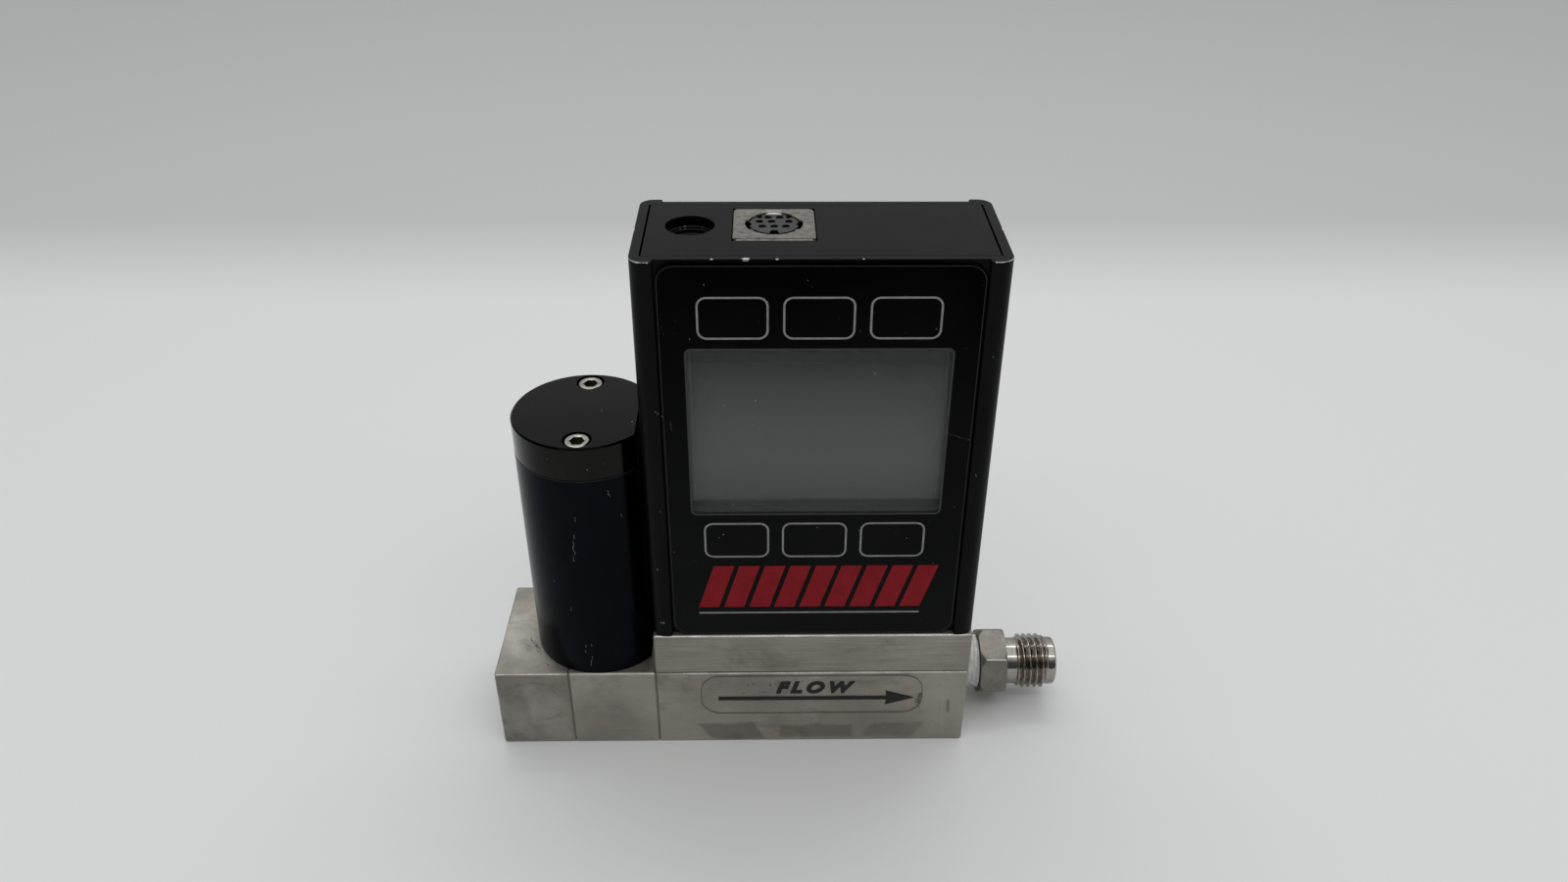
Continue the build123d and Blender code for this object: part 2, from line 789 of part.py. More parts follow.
with BuildPart() as plunger_seal:
    with BuildSketch(Plane.XY.offset(plunger_bottom - seal_stand_out)):
        with Locations((valve_x, 0)):
            Circle(seal_radius)
    extrude(amount=seal_thickness)
plunger_seal.part.label = "plunger_seal"
export_step(plunger_seal.part, "parts/plunger_seal.step")

spring_bottom = plunger_top - spring_pocket_depth + spring_wire_radius + ring_fit
spring_rise = core_bottom - spring_wire_radius - ring_fit - spring_bottom
with BuildPart() as plunger_spring:
    with BuildLine() as coil:
        spring_start = (valve_x, 0, spring_bottom)
        Helix(spring_rise / spring_turns, spring_rise, spring_coil_radius, center=spring_start)
    with BuildSketch(Plane(origin=coil.line @ 0, z_dir=coil.line % 0)):
        RegularPolygon(spring_wire_radius, 6)
    sweep(is_frenet=True)
plunger_spring.part.label = "plunger_spring"
export_step(plunger_spring.part, "parts/plunger_spring.step")

with BuildPart() as fixed_core:
    with BuildSketch(Plane.XY.offset(core_bottom)):
        with Locations((valve_x, 0)):
            Circle(tube_bore - ring_fit)
    extrude(amount=bobbin_top - core_bottom)
    chamfer(fixed_core.edges().group_by(Axis.Z)[0], edge_break)
fixed_core.part.label = "fixed_core"
export_step(fixed_core.part, "parts/fixed_core.step")


def half_shell(side, recess, wall):
    """Half of the extruded case: side is -1 for the front half and 1 for the back half."""
    face = side * case_depth / 2
    inner = face - side * (recess + wall)
    with BuildPart() as shell:
        with BuildSketch(Plane.XY.offset(case_bottom)) as plan:
            with Locations((flow_middle, face / 2)):
                Rectangle(flow_length, case_depth / 2)
            by_depth = plan.vertices().group_by(Axis.Y)
            fillet(by_depth[0] if side < 0 else by_depth[-1], case_corner)
            seam_corners = plan.vertices().filter_by(lambda corner: abs(corner.Y) < seam_round / 10)
            fillet(seam_corners, seam_round)
            with Locations((flow_middle, inner / 2)):
                Rectangle(cavity_length, abs(inner), mode=Mode.SUBTRACT)
            with Locations((flow_middle, face)):
                Rectangle(recess_length, 2 * recess, mode=Mode.SUBTRACT)
            lips = plan.vertices().filter_by(
                lambda corner: abs(corner.Y - face) < 0.01
                and abs(abs(corner.X - flow_middle) - recess_length / 2) < 0.01
            )
            fillet(lips, flange_corner)
        extrude(amount=case_height)
    return shell.part


# Case shells: two extrusions that meet in a shallow groove half way along each side.
screw_rows = [spigot_screw_z, case_top - case_screw_drop]
front_spots = [(x, z) for x in case_screw_xs for z in screw_rows]
back_spots = [(-x, z) for x, z in front_spots]
front_surface = Plane.XZ.offset(-recess_floor)
back_surface = Plane(origin=(0, case_back - back_recess, 0), x_dir=(-1, 0, 0), z_dir=(0, 1, 0))
tail_z = case_bottom + tail_rise
with BuildPart() as front_shell:
    add(half_shell(-1, front_recess, front_wall))
    with BuildSketch(front_surface):
        with Locations((flow_middle, window_z)):
            Rectangle(window_length + 2 * opening_margin, window_height + 2 * opening_margin)
        with Locations((flow_middle, tail_z)):
            Rectangle(tail_width + 2 * hole_fit, tail_thickness + 2 * hole_fit)
    extrude(amount=-front_wall, mode=Mode.SUBTRACT)
    add(tapered_pins(front_surface, front_spots, bore_fit, front_wall), mode=Mode.SUBTRACT)
front_shell.part.label = "front_shell"
export_step(front_shell.part, "parts/front_shell.step")

with BuildPart() as back_shell:
    add(half_shell(1, back_recess, back_wall))
    add(tapered_pins(back_surface, back_spots, bore_fit, back_wall), mode=Mode.SUBTRACT)
    with BuildSketch(Plane.YZ.offset(flow_left)):
        with Locations((lead_y, base_height + lead_height)):
            Circle(lead_hole_radius)
    extrude(amount=side_wall, mode=Mode.SUBTRACT)
back_shell.part.label = "back_shell"
export_step(back_shell.part, "parts/back_shell.step")

with BuildPart() as case_screws:
    add(tapered_pins(front_surface, front_spots, 0, case_screw_length))
    add(tapered_pins(back_surface, back_spots, 0, case_screw_length))
    for surface, spots in ((front_surface, front_spots), (back_surface, back_spots)):
        with BuildSketch(surface):
            with Locations(*spots):
                Rectangle(cross_length, cross_width)
                Rectangle(cross_width, cross_length)
        extrude(amount=-cross_depth, mode=Mode.SUBTRACT)
case_screws.part.label = "case_screws"
export_step(case_screws.part, "parts/case_screws.step")

# Top plate: closes the case between the shells, holds both sockets and takes the upper screws in
# four tabs that hang from its edges.
plate_length = cavity_length - 2 * plate_end_gap
plate_depth = cavity_depth - 2 * slide_fit
jack_centre = (flow_left + jack_x, jack_y)
connector_centre = (flow_left + connector_x, connector_y)
tab_ys = [cavity_front + slide_fit + tab_depth / 2, cavity_back - slide_fit - tab_depth / 2]
with BuildPart() as top_plate:
    with BuildSketch(Plane.XY.offset(plate_bottom)):
        with Locations((flow_middle, cavity_y)):
            Rectangle(plate_length, plate_depth)
        with Locations(jack_centre):
            Circle(jack_hole_radius, mode=Mode.SUBTRACT)
        with Locations(connector_centre):
            Rectangle(connector_size + slide_fit, connector_size + slide_fit, mode=Mode.SUBTRACT)
    extrude(amount=plate_thickness)
    with BuildSketch(Plane.XY.offset(plate_bottom)):
        with Locations(*[(x, y) for x in case_screw_xs for y in tab_ys]):
            Rectangle(tab_width, tab_depth)
    extrude(amount=-(tab_drop - plate_thickness))
    with BuildSketch(Plane.XZ.offset(-cavity_back)):
        with Locations(*[(x, case_top - case_screw_drop) for x in case_screw_xs]):
            Circle(case_screw_radius + bore_fit)
    extrude(amount=cavity_depth, mode=Mode.SUBTRACT)
top_plate.part.label = "top_plate"
export_step(top_plate.part, "parts/top_plate.step")

# Keypad overlay: a flexible printed sheet with a clear window, over six metal snap domes.
key_rows = [case_bottom + key_row_low, case_bottom + key_row_high]
key_spots = [(flow_middle + column * key_pitch, row) for column in (-1, 0, 1) for row in key_rows]
overlay_bottom = case_bottom + overlay_foot_gap
overlay_top = case_top - overlay_top_gap
overlay_z = (overlay_bottom + overlay_top) / 2
with BuildPart() as keypad_overlay:
    with BuildSketch(front_surface):
        with Locations((flow_middle, overlay_z)):
            RectangleRounded(
                recess_length - 2 * overlay_side_gap, overlay_top - overlay_bottom, overlay_corner
            )
        with Locations((flow_middle, window_z)):
            RectangleRounded(window_length, window_height, window_corner, mode=Mode.SUBTRACT)
    extrude(amount=overlay_thickness)
    with BuildSketch(front_surface):
        with Locations(*key_spots):
            Circle(dome_radius + slide_fit)
    extrude(amount=dome_rise + slide_fit / 2, mode=Mode.SUBTRACT)
keypad_overlay.part.label = "keypad_overlay"
export_step(keypad_overlay.part, "parts/keypad_overlay.step")

with BuildPart() as key_domes:
    with Locations(front_surface):
        with Locations(*key_spots):
            Cone(dome_radius, dome_radius / 2, dome_rise, align=(Align.CENTER, Align.CENTER, Align.MIN))
            Cone(
                dome_radius - dome_sheet,
                dome_radius / 2 - dome_sheet,
                dome_rise - dome_sheet,
                align=(Align.CENTER, Align.CENTER, Align.MIN),
                mode=Mode.SUBTRACT,
            )
key_domes.part.label = "key_domes"
export_step(key_domes.part, "parts/key_domes.step")

with BuildPart() as display_window:
    with BuildSketch(front_surface):
        with Locations((flow_middle, window_z)):
            RectangleRounded(window_length - 2 * ring_fit, window_height - 2 * ring_fit, window_corner)
    extrude(amount=overlay_thickness)
display_window.part.label = "display_window"
export_step(display_window.part, "parts/display_window.step")

# Display: the glass lies in a tray on the display board, just behind the opening in the front wall.
# Above the socket board's underside the tray is cut back wherever it would reach the connector.
glass_front = cavity_front + slide_fit
board_front = glass_front + tray_depth
glass_length = window_length + 2 * glass_margin
glass_height = window_height + 2 * glass_margin
tray_length = glass_length + 2 * tray_margin
glass_plane = Plane.XZ.offset(-glass_front)
with BuildPart() as display_glass:
    with BuildSketch(glass_plane):
        with Locations((flow_middle, window_z)):
            Rectangle(glass_length, glass_height)
    extrude(amount=-glass_thickness)
display_glass.part.label = "display_glass"
export_step(display_glass.part, "parts/display_glass.step")

with BuildPart() as display_tray:
    with BuildSketch(glass_plane):
        with Locations((flow_middle, window_z)):
            Rectangle(tray_length, glass_height + 2 * tray_margin)
    extrude(amount=-tray_depth)
    with BuildSketch(glass_plane):
        with Locations((flow_middle, window_z)):
            Rectangle(glass_length + 2 * ring_fit, glass_height + 2 * ring_fit)
    extrude(amount=-glass_thickness, mode=Mode.SUBTRACT)
    with BuildSketch(Plane.XY.offset(io_bottom - slide_fit)):
        with Locations((flow_middle, connector_front - tray_gap + tray_depth / 2)):
            Rectangle(tray_length, tray_depth)
    extrude(amount=case_height, mode=Mode.SUBTRACT)
display_tray.part.label = "display_tray"
export_step(display_tray.part, "parts/display_tray.step")

# Boards: the main board stands on posts from the back shell, the display board on posts from the
# main board, and the socket board lies across their top edges.
io_board_front = min(board_front + io_board_gap, connector_front - io_board_lead)
io_board_back = cavity_back - hole_fit
sensor_board_bottom = spigot_top - sensor_pocket + sensor_height
sensor_board_top = sensor_board_bottom + board_thickness
main_bottom = sensor_board_top + main_board_clearance
main_back = main_board_y + board_thickness
board_back = board_front + board_thickness
post_zs = [main_bottom + standoff_inset, io_bottom - standoff_inset]
post_xs = [flow_middle - board_length / 2 + standoff_inset, flow_middle + board_length / 2 - standoff_inset]
post_spots = [(x, z) for x in post_xs for z in post_zs]
with BuildPart() as display_board:
    with BuildSketch(Plane.XZ.offset(-board_front)):
        with Locations((flow_middle, (main_bottom + io_bottom) / 2)):
            Rectangle(board_length, io_bottom - main_bottom)
        with Locations(*post_spots):
            Circle(stud_radius + bore_fit, mode=Mode.SUBTRACT)
    extrude(amount=-board_thickness)
display_board.part.label = "display_board"
export_step(display_board.part, "parts/display_board.step")

with BuildPart() as main_board:
    with BuildSketch(Plane.XZ.offset(-main_board_y)):
        with Locations((flow_middle, (main_bottom + io_bottom) / 2)):
            Rectangle(board_length, io_bottom - main_bottom)
        with Locations(*post_spots):
            Circle(stud_radius + bore_fit, mode=Mode.SUBTRACT)
    extrude(amount=-board_thickness)
main_board.part.label = "main_board"
export_step(main_board.part, "parts/main_board.step")

with BuildPart() as board_standoffs:
    with BuildSketch(Plane.XZ.offset(-main_back)):
        with Locations(*post_spots):
            RegularPolygon(standoff_radius, 6)
    extrude(amount=-(cavity_back - main_back))
    with BuildSketch(Plane.XZ.offset(-main_back)):
        with Locations(*post_spots):
            Circle(stud_radius)
    extrude(amount=board_thickness + stud_bite)
board_standoffs.part.label = "board_standoffs"
export_step(board_standoffs.part, "parts/board_standoffs.step")

with BuildPart() as board_spacers:
    with BuildSketch(Plane.XZ.offset(-main_board_y)):
        with Locations(*post_spots):
            RegularPolygon(standoff_radius, 6)
    extrude(amount=main_board_y - board_back)
    with BuildSketch(Plane.XZ.offset(-main_board_y)):
        with Locations(*post_spots):
            Circle(stud_radius + bore_fit)
    extrude(amount=stud_bite + slide_fit, mode=Mode.SUBTRACT)
    with BuildSketch(Plane.XZ.offset(-board_back)):
        with Locations(*post_spots):
            Circle(stud_radius)
    extrude(amount=board_thickness)
board_spacers.part.label = "board_spacers"
export_step(board_spacers.part, "parts/board_spacers.step")

with BuildPart() as sensor_board:
    with BuildSketch(Plane.XY.offset(sensor_board_bottom)):
        with Locations((flow_middle, cavity_y)):
            Rectangle(board_length, sensor_board_depth)
    extrude(amount=board_thickness)
sensor_board.part.label = "sensor_board"
export_step(sensor_board.part, "parts/sensor_board.step")

with BuildPart() as io_board:
    with BuildSketch(Plane.XY.offset(io_bottom)):
        with Locations((flow_middle, (io_board_front + io_board_back) / 2)):
            Rectangle(board_length, io_board_back - io_board_front)
    extrude(amount=board_thickness)
io_board.part.label = "io_board"
export_step(io_board.part, "parts/io_board.step")

with BuildPart() as board_header:
    with BuildSketch(Plane.XY.offset(sensor_board_top)):
        with Locations((flow_middle + header_length / 2, main_board_y - header_depth / 2)):
            Rectangle(header_length, header_depth)
    extrude(amount=header_height)
board_header.part.label = "board_header"
export_step(board_header.part, "parts/board_header.step")

with BuildPart() as control_chip:
    with BuildSketch(Plane.XZ.offset(-main_board_y)):
        with Locations((flow_middle, case_bottom + chip_rise)):
            Rectangle(chip_size, chip_size)
    extrude(amount=chip_thickness)
    chamfer(control_chip.faces().sort_by(Axis.Y)[0].edges(), edge_break)
control_chip.part.label = "control_chip"
export_step(control_chip.part, "parts/control_chip.step")

with BuildPart() as pressure_sensors:
    with BuildSketch(Plane.XY.offset(spigot_top - sensor_pocket)):
        with Locations(*taps):
            Circle(sensor_radius)
            Circle(tap_radius, mode=Mode.SUBTRACT)
    extrude(amount=sensor_height - sensor_step)
    with BuildSketch(Plane.XY.offset(sensor_board_bottom)):
        with Locations(*taps):
            Circle(sensor_radius - sensor_step)
    extrude(amount=-sensor_height / 2)
pressure_sensors.part.label = "pressure_sensors"
export_step(pressure_sensors.part, "parts/pressure_sensors.step")

with BuildPart() as keypad_tail:
    with BuildSketch(front_surface):
        with Locations((flow_middle, tail_z)):
            Rectangle(tail_width, tail_thickness)
    extrude(amount=-(board_front - recess_floor))
keypad_tail.part.label = "keypad_tail"
export_step(keypad_tail.part, "parts/keypad_tail.step")

# Sockets: a barrel power jack under its round hole and a round keyed connector in a metal shield.
with BuildPart() as power_jack:
    with BuildSketch(Plane.XY.offset(io_top)):
        with Locations(jack_centre):
            Rectangle(jack_width, jack_depth)
    extrude(amount=plate_bottom - io_top)
    with Locations((*jack_centre, plate_bottom)):
        Hole(jack_bore_radius, jack_bore_depth)
power_jack.part.label = "power_jack"
export_step(power_jack.part, "parts/power_jack.step")

with BuildPart() as jack_pin:
    with BuildSketch(Plane.XY.offset(plate_bottom - jack_bore_depth)):
        with Locations(jack_centre):
            Circle(jack_pin_radius)
    extrude(amount=case_top - jack_pin_drop - plate_bottom + jack_bore_depth)
    chamfer(jack_pin.edges().group_by(Axis.Z)[-1], jack_pin_radius / 3)
jack_pin.part.label = "jack_pin"
export_step(jack_pin.part, "parts/jack_pin.step")

shield_top = case_top - connector_sink
insert_top = shield_top - insert_sink
insert_base_top = shield_top - shield_wall - insert_sink
with BuildPart() as connector_shield:
    with BuildSketch(Plane.XY.offset(io_top)):
        with Locations(connector_centre):
            Rectangle(connector_size, connector_size)
    extrude(amount=shield_top - io_top)
    with BuildSketch(Plane.XY.offset(io_top)):
        with Locations(connector_centre):
            Rectangle(connector_size - 2 * shield_wall, connector_size - 2 * shield_wall)
    extrude(amount=shield_top - shield_wall - io_top, mode=Mode.SUBTRACT)
    with Locations((*connector_centre, shield_top)):
        Hole(shield_round_radius, shield_top - io_top)
connector_shield.part.label = "connector_shield"
export_step(connector_shield.part, "parts/connector_shield.step")

contact_rows = [(2.2, (-1.05, 1.05)), (0.45, (-2.6, -0.55, 2.4)), (-1.2, (-1.95, 0, 1.95))]
contact_spots = [
    (connector_centre[0] + across, connector_centre[1] + row)
    for row, places in contact_rows
    for across in places
]
insert_block = connector_size - 2 * shield_wall - slide_fit
with BuildPart() as connector_insert:
    with BuildSketch(Plane.XY.offset(io_top)):
        with Locations(connector_centre):
            Rectangle(insert_block, insert_block)
    extrude(amount=insert_base_top - io_top)
    with BuildSketch(Plane.XY.offset(io_top)):
        with Locations(connector_centre):
            Circle(insert_radius)
            with Locations((0, -insert_radius)):
                Rectangle(key_notch_width, key_notch_width, mode=Mode.SUBTRACT)
            with PolarLocations(insert_radius, 2, side_notch_start, side_notch_span):
                Rectangle(side_notch_width, side_notch_width, mode=Mode.SUBTRACT)
    extrude(amount=insert_top - io_top)
    with Locations(*[(x, y, insert_top) for x, y in contact_spots]):
        Hole(contact_hole_radius, 2 * contact_depth)
connector_insert.part.label = "connector_insert"
export_step(connector_insert.part, "parts/connector_insert.step")

with BuildPart() as connector_contacts:
    with BuildSketch(Plane.XY.offset(insert_top - 2 * contact_depth)):
        with Locations(*contact_spots):
            Circle(contact_hole_radius - ring_fit)
            Circle(contact_hole_radius / 2, mode=Mode.SUBTRACT)
    extrude(amount=2 * contact_depth - insert_sink)
connector_contacts.part.label = "connector_contacts"
export_step(connector_contacts.part, "parts/connector_contacts.step")

# Coil leads: out of the can's flat, through a grommet in the back shell and into a plug on the main
# board.
lead_z = base_height + lead_height
lead_spots = [(lead_y, lead_z - lead_pitch / 2), (lead_y, lead_z + lead_pitch / 2)]
plug_left = flow_left + plug_inset
with BuildPart() as valve_leads:
    with BuildSketch(Plane.YZ.offset(valve_x + winding_radius)):
        with Locations(*lead_spots):
            Circle(lead_radius)
    extrude(amount=plug_left - valve_x - winding_radius)
valve_leads.part.label = "valve_leads"
export_step(valve_leads.part, "parts/valve_leads.step")

with BuildPart() as lead_grommet:
    with BuildSketch(Plane.YZ.offset(flow_left - grommet_lip)):
        with Locations((lead_y, lead_z)):
            Circle(lead_hole_radius - ring_fit)
    extrude(amount=side_wall + 2 * grommet_lip)
    for lip_x in (flow_left - grommet_lip, flow_left + side_wall):
        with BuildSketch(Plane.YZ.offset(lip_x)):
            with Locations((lead_y, lead_z)):
                Circle(lead_hole_radius + grommet_lip)
        extrude(amount=grommet_lip)
    with BuildSketch(Plane.YZ.offset(flow_left - grommet_lip)):
        with Locations((lead_y, lead_z)):
            Circle(lead_hole_radius - grommet_wall)
    extrude(amount=side_wall + 2 * grommet_lip, mode=Mode.SUBTRACT)
lead_grommet.part.label = "lead_grommet"
export_step(lead_grommet.part, "parts/lead_grommet.step")

with BuildPart() as lead_plug:
    with BuildSketch(Plane.XZ.offset(-main_board_y)):
        with Locations((plug_left + plug_length / 2, lead_z)):
            Rectangle(plug_length, plug_height)
    extrude(amount=plug_depth)
lead_plug.part.label = "lead_plug"
export_step(lead_plug.part, "parts/lead_plug.step")
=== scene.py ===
from math import radians

import bmesh
import bpy
import numpy as np
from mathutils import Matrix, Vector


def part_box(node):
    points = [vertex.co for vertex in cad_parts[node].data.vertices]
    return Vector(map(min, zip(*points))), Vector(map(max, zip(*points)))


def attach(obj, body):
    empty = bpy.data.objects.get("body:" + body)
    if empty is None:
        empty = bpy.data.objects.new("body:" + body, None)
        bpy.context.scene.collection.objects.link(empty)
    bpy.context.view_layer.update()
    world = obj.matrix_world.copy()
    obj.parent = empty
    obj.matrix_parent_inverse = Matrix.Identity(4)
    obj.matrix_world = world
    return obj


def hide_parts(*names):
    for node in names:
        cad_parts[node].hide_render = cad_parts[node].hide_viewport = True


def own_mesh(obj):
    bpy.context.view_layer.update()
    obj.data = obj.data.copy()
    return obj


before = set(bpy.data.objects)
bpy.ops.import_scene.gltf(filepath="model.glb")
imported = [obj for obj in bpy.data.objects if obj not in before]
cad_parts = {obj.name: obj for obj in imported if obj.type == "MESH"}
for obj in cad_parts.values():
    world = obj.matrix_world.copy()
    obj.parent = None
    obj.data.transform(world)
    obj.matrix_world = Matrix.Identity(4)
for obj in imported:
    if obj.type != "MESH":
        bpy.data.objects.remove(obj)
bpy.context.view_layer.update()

mm = 0.001
print("frame loaded:", len(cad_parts), "nodes")


# Where things are, in millimetres, read from the frame.
def boxOf(node):
    low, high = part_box(node)
    return np.array(low) / mm, np.array(high) / mm


fittingLow, fittingHigh = boxOf("outlet_fitting")
flowLow, flowHigh = boxOf("flow_body")
overlayLow, overlayHigh = boxOf("keypad_overlay")
windowLow, windowHigh = boxOf("display_window")
labelLow, labelHigh = boxOf("flow_label")
shellLow, shellHigh = boxOf("front_shell")
canLow, canHigh = boxOf("valve_housing")
capHigh = boxOf("valve_cap")[1]
screwLow, screwHigh = boxOf("valve_screws")
shieldLow, shieldHigh = boxOf("connector_shield")
insertLow = boxOf("connector_insert")[0]
inletLow, inletHigh = boxOf("inlet_block")
sensorLow, sensorHigh = boxOf("sensor_block")
axisZ = (fittingLow[2] + fittingHigh[2]) / 2
valveX = (screwLow[0] + screwHigh[0]) / 2
canRadius = (canHigh[1] - canLow[1]) / 2


# Grid of points from three coordinates, each given for every point or along one direction only.
def gridOf(x, y, z):
    return np.stack(np.broadcast_arrays(x, y, z), -1)


# Points round the fitting's axis: places along it, radii and angles.
def turnedGrid(x, radius, turn):
    return gridOf(x, radius * np.cos(turn), axisZ + radius * np.sin(turn))


# Points round an upright line: its place, radii, angles and heights.
def uprightGrid(middle, radius, turn, height):
    return gridOf(middle[0] + radius * np.cos(turn), middle[1] + radius * np.sin(turn), height)


# Evenly spaced angles round a full turn.
def fullTurn(count):
    return np.linspace(0, 2 * np.pi, count, endpoint=False)


# Grid surface: quads join each point to its neighbours along the rows, which are closed rings, and across them.
# A fan to the middle closes an end row.
def gridMesh(name, grid, wrapRows=False, closeStart=False, closeEnd=False):
    rows, columns = grid.shape[:2]
    index = np.arange(rows * columns).reshape(rows, columns)
    near = index if wrapRows else index[:-1]
    far = np.roll(index, -1, 0) if wrapRows else index[1:]
    left, right = (near, far), (np.roll(near, -1, 1), np.roll(far, -1, 1))
    faces = np.stack([left[0], right[0], right[1], left[1]], -1).reshape(-1, 4).tolist()
    points = [grid.reshape(-1, 3)]
    total = rows * columns
    for wanted, ring in ((closeStart, 0), (closeEnd, -1)):
        if wanted:
            points.append(grid[ring].mean(0)[None])
            edge = index[ring]
            hub = np.full_like(edge, total)
            faces += np.stack([edge, np.roll(edge, -1), hub], -1).tolist()
            total += 1
    mesh = bpy.data.meshes.new(name)
    mesh.from_pydata((np.concatenate(points) * mm).tolist(), [], faces)
    return mesh


# Adds an object to the scene.
def addObject(name, data):
    piece = bpy.data.objects.new(name, data)
    bpy.context.scene.collection.objects.link(piece)
    return piece


# Turns the faces outwards, smooths the shading below the given angle and adds the object to the scene.
def finishMesh(name, mesh, sharpAngle=32):
    work = bmesh.new()
    work.from_mesh(mesh)
    bmesh.ops.recalc_face_normals(work, faces=work.faces)
    work.to_mesh(mesh)
    work.free()
    mesh.polygons.foreach_set("use_smooth", np.ones(len(mesh.polygons), bool))
    mesh.set_sharp_from_angle(angle=radians(sharpAngle))
    return addObject(name, mesh)


# Middle of each face of a piece, in millimetres.
def facePlaces(piece):
    middles = np.empty(len(piece.data.polygons) * 3)
    piece.data.polygons.foreach_get("center", middles)
    return middles.reshape(-1, 3) / mm


# Gives a piece its materials and makes it ride with the fixed body.
def dress(piece, slot, *materials):
    for material in materials:
        piece.data.materials.append(material)
    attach(piece, "root")


# Chooses each face's material by its place in the piece's list.
def chooseMaterials(piece, places):
    piece.data.polygons.foreach_set("material_index", np.asarray(places).astype(int))


# Joins several meshes into one piece.
def joinMeshes(name, meshes, sharpAngle=32):
    work = bmesh.new()
    for mesh in meshes:
        work.from_mesh(mesh)
        bpy.data.meshes.remove(mesh)
    joined = bpy.data.meshes.new(name)
    work.to_mesh(joined)
    work.free()
    return finishMesh(name, joined, sharpAngle)


# Joins meshes into one dressed piece.
def addPiece(name, meshes, material, slot, sharpAngle=32):
    dress(joinMeshes(name, meshes, sharpAngle), slot, material)


# Flat plate: the outline in X and Z carried from the back depth to the front depth along Y.
def plateMesh(name, outline, backY, frontY):
    grid = gridOf(outline[:, 0], np.array([[backY], [frontY]]), outline[:, 1])
    return gridMesh(name, grid, closeStart=True, closeEnd=True)


# Unit direction of travel at each point of a path.
def headingsOf(path, closed=False):
    ahead = np.roll(path, -1, 0) - np.roll(path, 1, 0) if closed else np.gradient(path, axis=0)
    return ahead / np.linalg.norm(ahead, axis=1, keepdims=True)


# Printed line: a flat rectangle carried along a path in X and Z, offset half the width to each side of the path.
def lineMesh(name, path, width, backY, frontY, closed=True):
    ahead = headingsOf(path, closed)
    side = np.stack([-ahead[:, 1], ahead[:, 0]], 1) * np.broadcast_to(width, len(path))[:, None] / 2
    edges = path[:, None] + np.array([1, 1, -1, -1])[:, None] * side[:, None]
    grid = gridOf(edges[..., 0], np.array([backY, frontY, frontY, backY]), edges[..., 1])
    return gridMesh(name, grid, wrapRows=closed, closeStart=not closed, closeEnd=not closed)


# Rounded rectangle: quarter circles at the four corners, joined by straight sides.
def roundedOutline(centreX, centreZ, length, height, corner, steps=8):
    angles = np.linspace(0, np.pi / 2, steps + 1)
    turns = np.arange(4)[:, None] * np.pi / 2 + angles[None]
    signs = np.array([[1, 1], [-1, 1], [-1, -1], [1, -1]])
    middles = signs * [length / 2 - corner, height / 2 - corner]
    arcs = middles[:, None, :] + corner * np.stack([np.cos(turns), np.sin(turns)], -1)
    return arcs.reshape(-1, 2) + [centreX, centreZ]


# Rounded outline of a node's front, drawn in by half the given amount on each side.
def frontOutline(low, high, inset, corner, steps=8):
    centreX, centreZ = (low[0] + high[0]) / 2, (low[2] + high[2]) / 2
    return roundedOutline(centreX, centreZ, high[0] - low[0] - inset, high[2] - low[2] - inset, corner, steps)


socketNames = {
    "colour": "Base Color", "metal": "Metallic", "roughness": "Roughness", "specular": "Specular IOR Level",
    "edgeTint": "Specular Tint",
}


def newMaterial(name, **sockets):
    material = bpy.data.materials.new(name)
    material.use_nodes = True
    shader = material.node_tree.nodes["Principled BSDF"]
    for socket, value in sockets.items():
        shader.inputs[socketNames[socket]].default_value = value
    return material, shader


def addNode(material, kind, **settings):
    node = material.node_tree.nodes.new(kind)
    for key, value in settings.items():
        setattr(node, key, value)
    return node


def join(material, source, target):
    material.node_tree.links.new(source, target)


# Pattern on the piece's own coordinates; stretch divides its scale along each axis.
def patternOn(material, kind, scale, stretch, shift, **sockets):
    place = addNode(material, "ShaderNodeTexCoord")
    turn = addNode(material, "ShaderNodeMapping")
    turn.inputs["Scale"].default_value = [scale / part for part in stretch]
    turn.inputs["Location"].default_value = shift
    pattern = addNode(material, kind)
    for socket, value in sockets.items():
        pattern.inputs[socket].default_value = value
    join(material, place.outputs["Object"], turn.inputs["Vector"])
    join(material, turn.outputs["Vector"], pattern.inputs["Vector"])
    return pattern


def noiseOn(material, scale, stretch=(1, 1, 1), detail=3, roughness=0.5, distortion=0, shift=(0, 0, 0)):
    sockets = {"Scale": 1, "Detail": detail, "Roughness": roughness, "Distortion": distortion}
    return patternOn(material, "ShaderNodeTexNoise", scale, stretch, shift, **sockets).outputs["Fac"]


def cellsOn(material, scale, shift=(0, 0, 0)):
    return patternOn(material, "ShaderNodeTexVoronoi", scale, (1, 1, 1), shift, Scale=1).outputs["Distance"]


# One axis of the piece's own coordinates, in metres.
def axisOf(material, axis):
    place = addNode(material, "ShaderNodeTexCoord")
    split = addNode(material, "ShaderNodeSeparateXYZ")
    join(material, place.outputs["Object"], split.inputs["Vector"])
    return split.outputs[axis]


# Colour or grey level read off a list of stops.
def ramp(material, value, stops):
    node = addNode(material, "ShaderNodeValToRGB")
    while len(node.color_ramp.elements) < len(stops):
        node.color_ramp.elements.new(0.5)
    for element, (position, shade) in zip(node.color_ramp.elements, stops):
        element.position = position
        element.color = (*shade, 1) if isinstance(shade, tuple) else (shade, shade, shade, 1)
    join(material, value, node.inputs["Fac"])
    return node.outputs["Color"]


